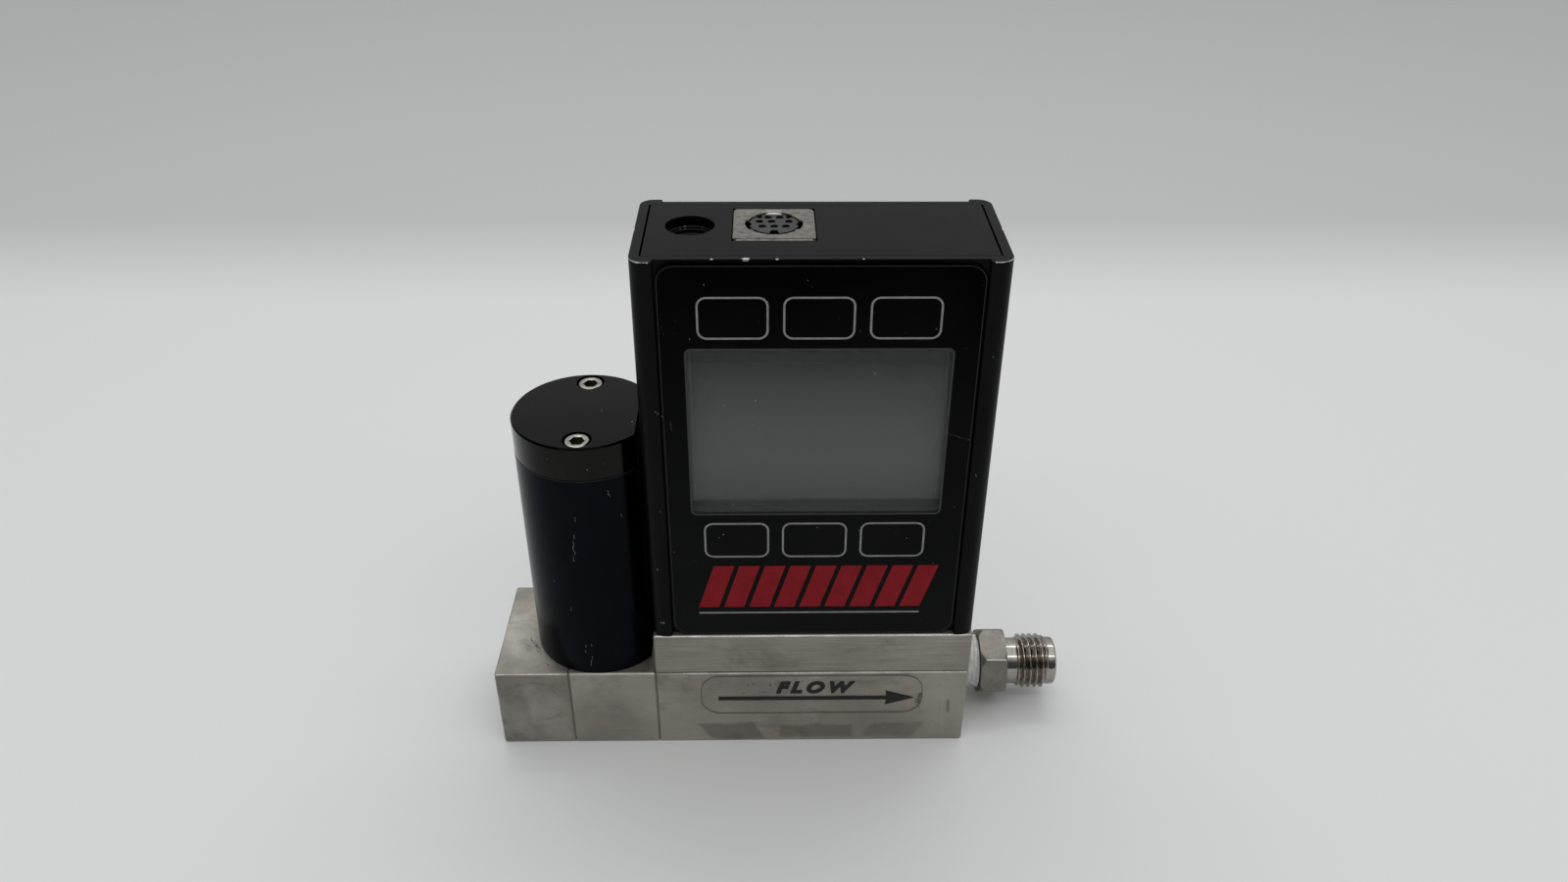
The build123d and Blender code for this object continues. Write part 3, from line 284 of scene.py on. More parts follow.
# Map from one range to another, clamped at its ends; a straight line unless the settings say otherwise.
def remap(material, value, fromLow, fromHigh, toLow=0.0, toHigh=1.0, **settings):
    node = addNode(material, "ShaderNodeMapRange", **settings)
    for socket, number in (("From Min", fromLow), ("From Max", fromHigh), ("To Min", toLow), ("To Max", toHigh)):
        node.inputs[socket].default_value = number
    join(material, value, node.inputs["Value"])
    return node.outputs["Result"]


# Sets a socket to a number or a colour, or links it to another node.
def feed(material, socket, value):
    if isinstance(value, tuple):
        socket.default_value = (*value, 1)
    elif isinstance(value, (int, float)):
        socket.default_value = value
    else:
        join(material, value, socket)


def calculate(material, operation, first, second):
    node = addNode(material, "ShaderNodeMath", operation=operation)
    feed(material, node.inputs[0], first)
    feed(material, node.inputs[1], second)
    return node.outputs["Value"]


def mixColour(material, factor, first, second, blend="MIX"):
    node = addNode(material, "ShaderNodeMix", data_type="RGBA", blend_type=blend)
    sockets = {socket.identifier: socket for socket in node.inputs}
    for key, value in (("Factor_Float", factor), ("A_Color", first), ("B_Color", second)):
        feed(material, sockets[key], value)
    return {socket.identifier: socket for socket in node.outputs}["Result_Color"]


def addBump(material, shader, height, distance, strength):
    bump = addNode(material, "ShaderNodeBump")
    bump.inputs["Strength"].default_value = strength
    bump.inputs["Distance"].default_value = distance
    join(material, height, bump.inputs["Height"])
    join(material, bump.outputs["Normal"], shader.inputs["Normal"])


def setColour(material, shader, colour):
    join(material, colour, shader.inputs["Base Color"])


def setRoughness(material, shader, value):
    join(material, value, shader.inputs["Roughness"])


# Machined aluminium: broad cloudy tarnish, smaller blotches, faint brushing along the flow and a few dark pits.
blockLook = {
    "light": (0.374, 0.356, 0.308), "dark": (0.27, 0.258, 0.226), "warm": (0.35, 0.31, 0.24), "stain": (0.14, 0.132, 0.115),
    "cloudScale": 48, "blotchScale": 150, "stainScale": 120, "pitScale": 420, "brushScale": 3000,
    "brushStretch": (40, 1, 1), "brushDepth": 0.07, "roughLow": 0.36, "roughHigh": 0.52, "bump": 0.000012,
}


def aluminium(name, look, shift=(0, 0, 0)):
    material, shader = newMaterial(name, metal=0.8, roughness=0.45, specular=0.5)
    clouds = noiseOn(material, look["cloudScale"], detail=4, roughness=0.55, distortion=0.4, shift=shift)
    blotches = noiseOn(material, look["blotchScale"], (1.3, 1, 1), detail=5, roughness=0.6, distortion=1.2, shift=shift)
    stains = noiseOn(material, look["stainScale"], (1.5, 1, 1), detail=8, roughness=0.7, distortion=0.5, shift=shift)
    brush = noiseOn(material, look["brushScale"], look["brushStretch"], detail=5, roughness=0.7, shift=shift)
    base = mixColour(material, remap(material, clouds, 0.36, 0.64), look["light"], look["dark"])
    base = mixColour(material, remap(material, blotches, 0.5, 0.72, 0, 0.7), base, look["warm"])
    base = mixColour(material, remap(material, stains, 0.54, 0.72, 0, 0.62), base, look["stain"])
    tone = ramp(material, brush, ((0.3, 1 - look["brushDepth"]), (0.7, 1 + look["brushDepth"])))
    base = mixColour(material, 1.0, base, tone, "MULTIPLY")
    pits = remap(material, cellsOn(material, look["pitScale"], shift=shift), 0.03, 0.09, 0.45, 1)
    base = mixColour(material, 0.7, base, pits, "MULTIPLY")
    rough = remap(material, stains, 0.35, 0.7, look["roughLow"], look["roughHigh"])
    setRoughness(material, shader, calculate(material, "ADD", rough, remap(material, brush, 0.3, 0.7, -0.03, 0.03)))
    height = calculate(material, "ADD", brush, calculate(material, "MULTIPLY", stains, 1.6))
    addBump(material, shader, height, look["bump"], 0.6)
    setColour(material, shader, base)
    return material, shader, base


# Old residue on the flow body: darker patches with a soft edge, in millimetres, and four specks under the label.
speckPlaces = ((-5.85, 15.5), (-3.7, 13.2), (-7.9, 13.0), (-1.6, 15.5))
residueKeys = ("left", "right", "low", "high", "edge", "shade", "lean", "wave")
residueLook = [dict(zip(residueKeys, row)) for row in (
    (-14.5, -3.4, 0.5, 4.9, 0.4, 0.57, 0.55, 0.55),
    (-0.6, 13.9, 0.9, 4.3, 0.3, 0.6, 0.0, 0.3),
    (15.2, 25.5, 0.9, 4.7, 0.5, 0.7, -0.6, 0.6),
    (32.9, 33.5, 7.5, 10.9, 0.2, 0.5, 0.05),
    (34.6, 36.4, 9.5, 10.7, 0.4, 0.68, -0.7),
    (31.05, 31.18, 0.3, 11.2, 0.06, 0.8, 0.0),
    (-24.9, -22.2, 10.25, 10.4, 0.05, 0.45, 0.0),
    (-24.9, -23.4, 8.4, 10.1, 0.5, 0.75, 0.0),
    *((x - 0.24, x + 0.24, z - 0.22, z + 0.22, 0.14, 0.5, 0.0) for x, z in speckPlaces),
)]


# Share that is 1 inside a rectangle in X and Z and 0 outside it, with a soft edge; it may lean and have an uneven outline.
def windowMask(material, look):
    across, up = axisOf(material, "X"), axisOf(material, "Z")
    edge = look["edge"] * mm
    if "lean" in look:
        across = calculate(material, "ADD", across, calculate(material, "MULTIPLY", up, look["lean"]))
    if "wave" in look:
        swing = remap(material, noiseOn(material, 230, detail=4), 0.3, 0.7, -look["wave"] * mm, look["wave"] * mm)
        across, up = calculate(material, "ADD", across, swing), calculate(material, "ADD", up, swing)
    share = 1.0
    for value, low, high in ((across, look["left"], look["right"]), (up, look["low"], look["high"])):
        share = calculate(material, "MULTIPLY", share, remap(material, value, low * mm - edge, low * mm + edge))
        share = calculate(material, "MULTIPLY", share, remap(material, value, high * mm + edge, high * mm - edge))
    return share


# Black anodised aluminium: nearly black dye, a satin face, faint grain, dust and grey rubs.
anodisedLook = {
    "dye": (0.0018, 0.0018, 0.002), "rub": (0.0048, 0.0048, 0.0052), "rubScale": 110, "grainScale": 5200,
    "roughLow": 0.34, "roughHigh": 0.46, "bump": 0.000006, "dust": 0.12, "dustScale": 420, "edge": (1.0, 1.0, 1.0),
}
capLook = dict(
    anodisedLook, dye=(0.016, 0.0158, 0.015), rub=(0.02, 0.0195, 0.0182), rubScale=70, roughLow=0.12, roughHigh=0.18,
    top=(0.0012, 0.0012, 0.0011), topStart=capHigh[2] - 0.36, flatStart=canHigh[0] - 0.05,
)
canLook = dict(
    anodisedLook, dye=(0.0059, 0.0064, 0.0094), rub=(0.0077, 0.0083, 0.0119), rubScale=60, roughLow=0.2, roughHigh=0.27,
    edge=(0.74, 0.74, 0.74), flatStart=canHigh[0] - 0.05,
)


def blackAnodised(name, look, specular, stretch=(1, 1, 1), metal=0.0):
    material, shader = newMaterial(name, specular=specular, metal=metal, edgeTint=(*look["edge"], 1))
    rubs = noiseOn(material, look["rubScale"], stretch, detail=6, roughness=0.65)
    grain = noiseOn(material, look["grainScale"], stretch, detail=2)
    dust = remap(material, cellsOn(material, look["dustScale"]), 0.02, 0.055, 1, 0)
    base = mixColour(material, remap(material, rubs, 0.45, 0.72), look["dye"], look["rub"])
    base = mixColour(material, calculate(material, "MULTIPLY", dust, look["dust"]), base, (0.14, 0.14, 0.13))
    if "top" in look:  # painted shade: the end face, down into the top of its chamfer, is painted blacker than the side, which also keeps the lamps' highlight off the chamfer
        start = look["topStart"]
        above = remap(material, axisOf(material, "Z"), start * mm, (start + 0.05) * mm)
        base = mixColour(material, above, base, look["top"])
    rough = remap(material, rubs, 0.3, 0.72, look["roughLow"], look["roughHigh"])
    if "flatStart" in look:  # the milled flat beside the case is matt
        start = look["flatStart"]
        beyond = remap(material, axisOf(material, "X"), (start - 0.04) * mm, start * mm, 0, 0.97)
        rough = calculate(material, "MAXIMUM", rough, beyond)
    setColour(material, shader, base)
    setRoughness(material, shader, rough)
    addBump(material, shader, grain, look["bump"], 0.5)
    return material


# Printed polyester overlay: very dark, fine matt grain, a slight sheen, settled dust, and a haze painted lighter
# towards the bottom as a painted reflection of the floor.
overlayLook = {
    "ink": (0.0004, 0.0004, 0.0005), "haze": (0.0108, 0.0111, 0.0113), "specular": 0.015,
    "paintedReflectionStops": ((0.05, 0.95), (0.62, 0.48), (0.86, 0.2), (0.97, 0.02)),
}


def overlayFilm(name, look):
    material, shader = newMaterial(name, roughness=0.36, specular=look["specular"])
    height = remap(material, axisOf(material, "Z"), overlayLow[2] * mm, overlayHigh[2] * mm)
    cloud = remap(material, noiseOn(material, 60, detail=4), 0.3, 0.7, -0.1, 0.1)
    # Painted reflection: the haze grows lighter towards the bottom, as the floor's reflection would; the cloud is
    # random tone.
    haze = calculate(material, "ADD", ramp(material, height, look["paintedReflectionStops"]), cloud)
    grain = noiseOn(material, 6500, detail=1)
    dust = remap(material, cellsOn(material, 430, shift=(3, 1, 7)), 0.025, 0.07, 1, 0)
    base = mixColour(material, haze, look["ink"], look["haze"])
    base = mixColour(material, calculate(material, "MULTIPLY", dust, 0.12), base, (0.2, 0.2, 0.19))
    setColour(material, shader, base)
    setRoughness(material, shader, remap(material, haze, 0, 1, 0.3, 0.42))
    addBump(material, shader, grain, 0.000004, 0.4)
    return material


# Unlit liquid crystal glass: grey green, with painted light and shade: a gradient by height that is partly painted
# reflection and shade, darkest along the top, painted light on strips down the sides, and a darker strip below the
# viewing area painted lighter towards its foot.
glassLook = {
    "stops": (
        (0.045, (0.068, 0.073, 0.071)), (0.12, (0.073, 0.078, 0.075)), (0.28, (0.09, 0.097, 0.092)),
        (0.5, (0.079, 0.087, 0.082)), (0.74, (0.046, 0.052, 0.048)), (0.92, (0.002, 0.004, 0.003)),
    ),
    "bandTop": (0.053, 0.057, 0.056), "bandFootPaintedLight": (0.2, 0.205, 0.205), "bandLow": 1.6, "bandSide": 0.75, "soft": 0.05,
    "strip": (0.165, 0.169, 0.163),
}


def displayGlass(name, look):
    material, shader = newMaterial(name, roughness=0.25, specular=0.4)
    height = remap(material, axisOf(material, "Z"), windowLow[2] * mm, windowHigh[2] * mm)
    # Painted light and shade: the gradient by height is partly the glass's own tone and partly painted reflection and
    # shade, darkest along the top.
    shade = ramp(material, height, look["stops"])
    sides = {
        "left": windowLow[0] + look["bandSide"], "right": windowHigh[0] - look["bandSide"],
        "low": windowLow[2] - 9, "high": windowHigh[2] + 9, "edge": look["soft"],
    }
    foot = dict(sides, left=windowLow[0] - 9, right=windowHigh[0] + 9, low=windowLow[2] + look["bandLow"])
    cloud = noiseOn(material, 26, detail=2)
    shade = mixColour(material, 0.5, shade, ramp(material, cloud, ((0.3, 0.93), (0.7, 1.07))), "MULTIPLY")
    # Painted light: lighter strips down both sides, where the window's walls shade the glass.
    edge = calculate(material, "MULTIPLY", calculate(material, "SUBTRACT", 1.0, windowMask(material, sides)), 0.35)
    shade = mixColour(material, edge, shade, look["strip"])
    # Painted light: the strip below the viewing area grows lighter towards its foot, against the shade of the window's
    # lower wall.
    depth = remap(material, axisOf(material, "Z"), (windowLow[2] + look["bandLow"]) * mm, (windowLow[2] - 2) * mm)
    band = mixColour(material, depth, look["bandTop"], look["bandFootPaintedLight"])
    shade = mixColour(material, windowMask(material, foot), band, shade)
    setColour(material, shader, shade)
    return material


# Clear hard-coated sheet: mostly seen through, with a thin milky haze and specks of dust.
def clearSheet(name):
    material, shader = newMaterial(name, colour=(0.3, 0.31, 0.3, 1), roughness=0.16, specular=0.36)
    dust = remap(material, cellsOn(material, 230, shift=(2, 5, 1)), 0.012, 0.026, 0.6, 0)
    haze = remap(material, noiseOn(material, 90, detail=4), 0.3, 0.7, 0.016, 0.033)
    join(material, calculate(material, "MAXIMUM", dust, haze), shader.inputs["Alpha"])
    return material


# Turned stainless steel: bright, with fine rings round the X axis and faint tarnish.
steelLook = {"bright": (0.41, 0.394, 0.362), "dull": (0.275, 0.262, 0.236), "roughLow": 0.07, "roughHigh": 0.15}
hexLook = {"bright": (0.262, 0.25, 0.224), "dull": (0.212, 0.2, 0.176), "roughLow": 0.41, "roughHigh": 0.56}


def steel(name, look, stretch=(1, 8, 8)):
    material, shader = newMaterial(name, metal=1.0)
    rings = noiseOn(material, 2400, stretch, detail=2)
    tarnish = noiseOn(material, 260, detail=5, roughness=0.65)
    base = mixColour(material, remap(material, tarnish, 0.35, 0.7), look["bright"], look["dull"])
    base = mixColour(material, 0.35, base, ramp(material, rings, ((0.3, 0.7), (0.7, 1.2))), "MULTIPLY")
    setColour(material, shader, base)
    setRoughness(material, shader, remap(material, tarnish, 0.3, 0.7, look["roughLow"], look["roughHigh"]))
    addBump(material, shader, rings, 0.000006, 0.5)
    return material


# Plain finishes for small and inner pieces: a main tone broken up by noise, with its own roughness and grain.
def plainFinish(name, light, dark, roughness, metal=0.0, scale=400, stretch=(1, 1, 1), bump=0.00001, specular=0.5):
    material, shader = newMaterial(name, metal=metal, specular=specular)
    pattern = noiseOn(material, scale, stretch, detail=5, roughness=0.6)
    setColour(material, shader, mixColour(material, remap(material, pattern, 0.3, 0.7), light, dark))
    setRoughness(material, shader, remap(material, pattern, 0.3, 0.7, roughness * 0.8, roughness * 1.2))
    addBump(material, shader, pattern, bump, 0.6)
    return material


# Solder mask over copper tracks: a squared pattern of lines on dark green.
def circuitBoard(name):
    material, shader = newMaterial(name, roughness=0.35)
    tracks = noiseOn(material, 900, (6, 6, 1), detail=1)
    lines = ramp(material, tracks, ((0.46, 0.0), (0.5, 1.0), (0.54, 0.0)))
    setColour(material, shader, mixColour(material, lines, (0.012, 0.09, 0.035), (0.03, 0.19, 0.07)))
    addBump(material, shader, tracks, 0.00002, 0.5)
    return material


def paint(material, *names):
    for name in names:
        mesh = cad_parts[name].data
        mesh.materials.clear()
        mesh.materials.append(material)


sensorLook = dict(blockLook, light=(0.33, 0.313, 0.268), dark=(0.252, 0.24, 0.208), stainScale=90, brushDepth=0.27)
valveLook = dict(blockLook, light=(0.43, 0.407, 0.353), dark=(0.28, 0.267, 0.233), stain=(0.125, 0.118, 0.1), stainScale=100)
inletLook = dict(
    blockLook, light=(0.43, 0.412, 0.372), dark=(0.25, 0.24, 0.212), cloudScale=95, stainScale=170, brushDepth=0.05,
)
sensorAluminium = aluminium("brushed sensor block aluminium", sensorLook)[0]
valveAluminium = aluminium("valve block aluminium", valveLook, shift=(6, 3, 5))[0]
inletAluminium, inletShader, inletColour = aluminium("stained inlet aluminium", inletLook, shift=(1, 7, 3))
# Painted shade: the front face is painted a little darker than the top.
paintedFrontShade = remap(inletAluminium, axisOf(inletAluminium, "Y"), (inletLow[1] + 0.1) * mm, inletLow[1] * mm, 0, 0.19)
setColour(inletAluminium, inletShader, mixColour(inletAluminium, paintedFrontShade, inletColour, (0.02, 0.02, 0.018)))
flowAluminium, flowShader, flowColour = aluminium("flow body aluminium", blockLook, shift=(4, 2, 9))
for patch in residueLook:
    share = calculate(flowAluminium, "MULTIPLY", windowMask(flowAluminium, patch), 1 - patch["shade"])
    flowColour = mixColour(flowAluminium, share, flowColour, (0.05, 0.05, 0.045))
setColour(flowAluminium, flowShader, flowColour)
caseBlack = blackAnodised("black anodised case", anodisedLook, specular=0.08, stretch=(1, 1, 3))
plateBlack = blackAnodised("black anodised plate", anodisedLook, specular=0.072)
canBlack = blackAnodised("black anodised can", canLook, specular=0.2, stretch=(1, 1, 4), metal=1.0)
capBlack = blackAnodised("black anodised cap", capLook, specular=0.2, metal=1.0)
overlayInk = overlayFilm("printed overlay film", overlayLook)
turnedSteel = steel("turned stainless steel", steelLook)
smallSteel = steel("screw stainless steel", dict(steelLook, roughLow=0.22, roughHigh=0.36), stretch=(1, 1, 1))
rootSteel = steel("dark thread root steel", dict(steelLook, bright=(0.34, 0.31, 0.265), dull=(0.21, 0.185, 0.152)))
hexSteel = steel("satin hexagon steel", hexLook, stretch=(1, 1, 1))
nickelShield = plainFinish(
    "dull nickel shield", (0.24, 0.233, 0.208), (0.1, 0.097, 0.085), 0.5, metal=0.75, scale=900, bump=0.00003,
)
blackOxide = plainFinish("black oxide steel", (0.02, 0.02, 0.02), (0.045, 0.045, 0.045), 0.4, metal=0.6)
brass = plainFinish("machined brass", (0.6, 0.46, 0.22), (0.4, 0.3, 0.13), 0.3, metal=1.0)
rubber = plainFinish("black rubber", (0.012, 0.012, 0.012), (0.02, 0.02, 0.02), 0.7)
collarGrey = plainFinish("glossy collar plastic", (0.03, 0.03, 0.03), (0.008, 0.008, 0.008), 0.3, scale=500, specular=0.3)
blackPlastic = plainFinish("moulded black plastic", (0.012, 0.012, 0.013), (0.022, 0.022, 0.023), 0.45)
whitePlastic = plainFinish("moulded white plastic", (0.62, 0.62, 0.6), (0.5, 0.5, 0.48), 0.5)
copper = plainFinish("enamelled copper", (0.5, 0.2, 0.09), (0.3, 0.11, 0.05), 0.3, metal=0.9, scale=3000, stretch=(8, 8, 1))
sleeve = plainFinish("lead sleeve", (0.02, 0.02, 0.02), (0.04, 0.04, 0.04), 0.55)
whiteTape = plainFinish(
    "sealing tape", (0.9, 0.91, 0.89), (0.66, 0.67, 0.65), 0.14, scale=900, stretch=(3, 1, 1), bump=0.00006,
)
socketBrown = plainFinish("dark socket", (0.12, 0.094, 0.066), (0.05, 0.04, 0.03), 0.35, metal=0.7, scale=900)
insertGrey = plainFinish(
    "dark grey insert plastic", (0.026, 0.026, 0.029), (0.036, 0.036, 0.039), 0.5, scale=900, specular=0.3,
)
# Bare metal for the chips and the worn flange edges; on the flange edges it also stands as a painted highlight.
bareMetalAndHighlight = plainFinish("bare worn metal and painted highlight", (0.62, 0.62, 0.6), (0.38, 0.38, 0.37), 0.5, metal=0.3, scale=2500)
scratchGrey = plainFinish("dust and scratch grey", (0.26, 0.26, 0.25), (0.13, 0.13, 0.13), 0.6, scale=2500, specular=0.3)
# Painted highlight: bright metal for the strips on the blocks' chamfers, the run on the hexagon's corner and the glints
# in the power socket.
paintedHighlight = plainFinish("painted highlight metal", (0.72, 0.71, 0.67), (0.4, 0.39, 0.36), 0.35, metal=0.7, scale=1500)
tarnishGrey = plainFinish("tarnish smudge", (0.16, 0.152, 0.135), (0.07, 0.066, 0.058), 0.5, metal=0.5, scale=900)
seamDark = plainFinish("dark joint line", (0.02, 0.018, 0.015), (0.06, 0.056, 0.048), 0.6, metal=0.3, scale=700)
rimHighlightGrey = plainFinish("overlay rim painted highlight", (0.016, 0.017, 0.018), (0.004, 0.004, 0.0045), 0.35, scale=300, specular=0.3)
jointBlack = plainFinish("joint shadow black", (0.001, 0.001, 0.001), (0.002, 0.002, 0.002), 0.7, specular=0.05)
lighterJointEdge = plainFinish("dark grey joint edge", (0.02, 0.02, 0.021), (0.011, 0.011, 0.012), 0.4, scale=700, specular=0.2)
filmEdgeGrey = plainFinish("label edge grey", (0.15, 0.145, 0.13), (0.1, 0.096, 0.086), 0.5, metal=0.3, scale=900)
boardGreen = circuitBoard("solder mask")
lcdGlass = displayGlass("unlit display glass", glassLook)
windowSheet = clearSheet("clear window sheet")
print("materials made")

paint(inletAluminium, "inlet_block")
paint(valveAluminium, "valve_block")
paint(sensorAluminium, "sensor_block")
paint(flowAluminium, "flow_body")
paint(caseBlack, "front_shell", "back_shell")
paint(plateBlack, "top_plate")
paint(canBlack, "valve_housing")
paint(capBlack, "valve_cap")
paint(overlayInk, "keypad_overlay", "keypad_tail")
paint(turnedSteel, "outlet_fitting", "flow_element", "element_retainer")
paint(
    smallSteel, "tie_screws", "sensor_block_screws", "valve_screws", "core_tube", "fixed_core", "valve_plunger",
    "valve_seat", "plunger_spring", "pressure_sensors", "key_domes",
)
paint(nickelShield, "connector_shield", "jack_pin")
paint(blackOxide, "case_screws")
paint(brass, "board_standoffs", "board_spacers", "connector_contacts")
paint(rubber, "inlet_seal", "body_seal", "tap_seals", "valve_seal", "plunger_seal", "lead_grommet")
paint(blackPlastic, "power_jack", "connector_insert", "board_header", "control_chip")
paint(whitePlastic, "display_tray", "coil_bobbin", "lead_plug")
paint(copper, "coil_winding")
paint(sleeve, "valve_leads")
paint(whiteTape, "thread_tape")
paint(boardGreen, "main_board", "display_board", "sensor_board", "io_board")
paint(lcdGlass, "display_glass")
paint(windowSheet, "display_window")
print("nodes painted")


# Outlet fitting, turned from hexagon bar: radius as a function of the distance from the tip and the angle.
fitting = {
    "noseLength": 1.7, "noseRadius": 4.87, "threadLength": 6.35, "pitch": 1.27, "crest": 5.56, "root": 4.86,
    "neckLength": 2.4, "neckRadius": 4.75, "hexLength": 5.3, "flats": 12.7, "hexTurn": 17, "hexChamfer": 0.7,
    "stubRadius": 4.55, "boreRadius": 2.29, "recessRadius": 4.1, "recessDepth": 0.9, "beadRadius": 3.2,
    "beadHeight": 0.6, "columns": 120, "threadSteps": 90,
}
threadEnd = fittingHigh[0] - fitting["noseLength"]
threadStart = threadEnd - fitting["threadLength"]
hexEnd = threadStart - fitting["neckLength"]
hexStart = hexEnd - fitting["hexLength"]


# Radius of the hexagon's flats in each direction.
def hexReach(spec, turn):
    return spec["flats"] / 2 / np.cos((turn - np.radians(spec["hexTurn"])) % (np.pi / 3) - np.pi / 6)


def makeFitting(spec):
    tip, floorAt = fittingHigh[0], fittingHigh[0] - spec["recessDepth"]
    stub, neck, nose = spec["stubRadius"], spec["neckRadius"], spec["noseRadius"]
    recess, bore = spec["recessRadius"], spec["boreRadius"]
    turn = np.radians(spec["hexTurn"]) + fullTurn(spec["columns"])
    rows = [(fittingLow[0], stub), (hexStart - 0.05, stub), (hexStart, stub + 0.05)]
    # Hexagon: the flats' radius, cut by a cone towards each end.
    chamfer = spec["flats"] / np.sqrt(3) - spec["hexChamfer"]
    steps = (0, 0.04, 0.12, 0.25, 0.45, 0.7, 1.1)
    cone = [(along, np.minimum(hexReach(spec, turn), chamfer + along * 0.65)) for along in steps]
    rows += [(hexStart + along, radius) for along, radius in cone]
    rows += [(hexEnd - along, radius) for along, radius in reversed(cone)]
    rows += [(hexEnd + 0.02, neck + 0.25), (hexEnd + 0.25, neck), (threadStart - 0.15, neck)]
    # Thread: a triangle wave along a helix with flattened crests, fading in at the neck and out at the nose.
    along = np.linspace(0, 1, spec["threadSteps"])
    stations = threadStart + along * spec["threadLength"]
    phase = (stations[:, None] / spec["pitch"] - turn[None] / (2 * np.pi)) % 1
    wave = np.clip(1.18 * (1 - np.abs(2 * phase - 1)) - 0.04, 0, 1)
    distance = np.minimum(along, 1 - along)[:, None] * spec["threadLength"]
    envelope = np.clip(distance / 0.75, 0, 1)
    base = spec["root"] - 0.06 * (1 - envelope)
    rows += zip(stations, base + (spec["crest"] - spec["root"]) * wave * envelope)
    # Nose, end face, recess, round bead and bore.
    rows += [(threadEnd + 0.15, nose), (tip - 0.45, nose), (tip - 0.3, nose - 0.03), (tip - 0.12, nose - 0.14)]
    rows += [(tip - 0.02, nose - 0.32), (tip, nose - 0.45), (tip, recess + 0.1), (tip - 0.1, recess)]
    rows += [(floorAt, recess - 0.02)]
    for angle in np.linspace(0, np.pi, 9):
        bead = spec["beadRadius"] + spec["beadHeight"] / 2 * np.cos(angle)
        rows.append((floorAt + spec["beadHeight"] * np.sin(angle) * 0.8, bead))
    rows += [(floorAt, bore + 0.15), (floorAt - 0.2, bore), (fittingLow[0], bore)]
    places = np.array([[x] for x, _ in rows])
    radii = np.stack([np.broadcast_to(radius, turn.shape) for _, radius in rows])
    return finishMesh("outletFitting", gridMesh("outletFitting", turnedGrid(places, radii, turn), wrapRows=True), 38)


outletFitting = makeFitting(fitting)
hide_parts("outlet_fitting")
dress(outletFitting, "stainless", turnedSteel, hexSteel, rootSteel)
middles = facePlaces(outletFitting)
along, reachOut = middles[:, 0], np.hypot(middles[:, 1], middles[:, 2] - axisZ)
inRoot = (along > threadStart) & (along < threadEnd - 0.2) & (reachOut > 4.7) & (reachOut < 5.28)
onHexagon = (along < hexEnd + 0.01) & (along > hexStart - 0.01) & (reachOut > 5)
chooseMaterials(outletFitting, onHexagon + 2 * inRoot)


# Painted highlight along one corner of the hexagon: a bright run of a few points round the corner, carried along the
# hexagon.
def makeHexEdge(spec, corner=137, half=0.9):
    stations = hexEnd - np.linspace(0.35, spec["hexLength"] - 0.9, 20)
    angles = np.radians(corner + half * np.array([-1, -0.5, 0, 0.5, 1, 0.4, -0.4]))
    reach = hexReach(spec, angles) + np.array([0.01] * 5 + [-0.08] * 2)
    reach[2] = spec["flats"] / np.sqrt(3) + 0.01
    grid = turnedGrid(stations[:, None], reach, angles)
    addPiece("hexCornerHighlight", [gridMesh("hexCornerHighlight", grid, closeStart=True, closeEnd=True)], paintedHighlight, "stainless")


makeHexEdge(fitting)


# Sealing tape: wrinkled turns bunched against the hexagon.
# The radius is a swelling curve, a spiral step and two running waves.
tape = {
    "start": 4.66, "swell": 0.75, "step": 0.12, "wrinkle": 0.13, "rows": 40, "columns": 150, "bore": 4.57, "length": 3.3,
}


def makeTape(spec):
    high = boxOf("thread_tape")[1]
    turn = fullTurn(spec["columns"])
    along = np.linspace(0, 1, spec["rows"])[:, None]
    layers = ((along * 4.3 - turn[None] / (2 * np.pi)) % 1) * spec["step"]
    waves = np.sin(7 * turn[None] + 9 * along) * np.sin(4 * turn[None] - 19 * along + 1) * (0.3 + 0.7 * along)
    radius = spec["start"] + spec["swell"] * along ** 1.6 + layers + spec["wrinkle"] * waves
    radius[[0, -1]] = spec["bore"]
    radius[-2] -= 0.25
    grid = turnedGrid(high[0] - 0.03 - (1 - along) * spec["length"], radius, turn)
    return finishMesh("woundTape", gridMesh("woundTape", grid, wrapRows=True), 60)


woundTape = makeTape(tape)
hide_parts("thread_tape")
dress(woundTape, "thread_tape", whiteTape)


# Socket-head screw, turned about its own axis: rounded head, hexagon socket with a bevelled mouth, plain shank.
screwHead = {"radius": 2.25, "height": 2.8, "round": 0.35, "socket": 2.4, "depth": 1.6, "shank": 1.42, "columns": 48}


def screwMesh(name, seat, axis, shankLength, spec):
    turn = fullTurn(spec["columns"])
    socket = spec["socket"] / 2 / np.cos(turn % (np.pi / 3) - np.pi / 6)
    top, radius, rounding = spec["height"], spec["radius"], spec["round"]
    arc = np.linspace(0, np.pi / 2, 6)
    rows = [(-shankLength, spec["shank"] - 0.3), (-shankLength + 0.3, spec["shank"]), (0, spec["shank"])]
    rows += [(0, radius - 0.1), (0.1, radius)]
    rows += [(top - rounding + rounding * np.sin(a), radius - rounding + rounding * np.cos(a)) for a in arc]
    rows += [(top, spec["socket"] / np.sqrt(3) + 0.18), (top - 0.14, socket), (top - spec["depth"], socket)]
    rows += [(top - spec["depth"] - 0.4, 0.05)]
    axis = np.array(axis, float)
    side = np.cross(axis, (0, 1, 0) if abs(axis[1]) < 0.5 else (1, 0, 0))
    other = np.cross(axis, side)
    spread = np.cos(turn)[:, None] * side + np.sin(turn)[:, None] * other
    grid = np.stack([
        np.array(seat) + height * axis + np.broadcast_to(reach, turn.shape)[:, None] * spread
        for height, reach in rows
    ])
    return gridMesh(name, grid, closeStart=True, closeEnd=True)


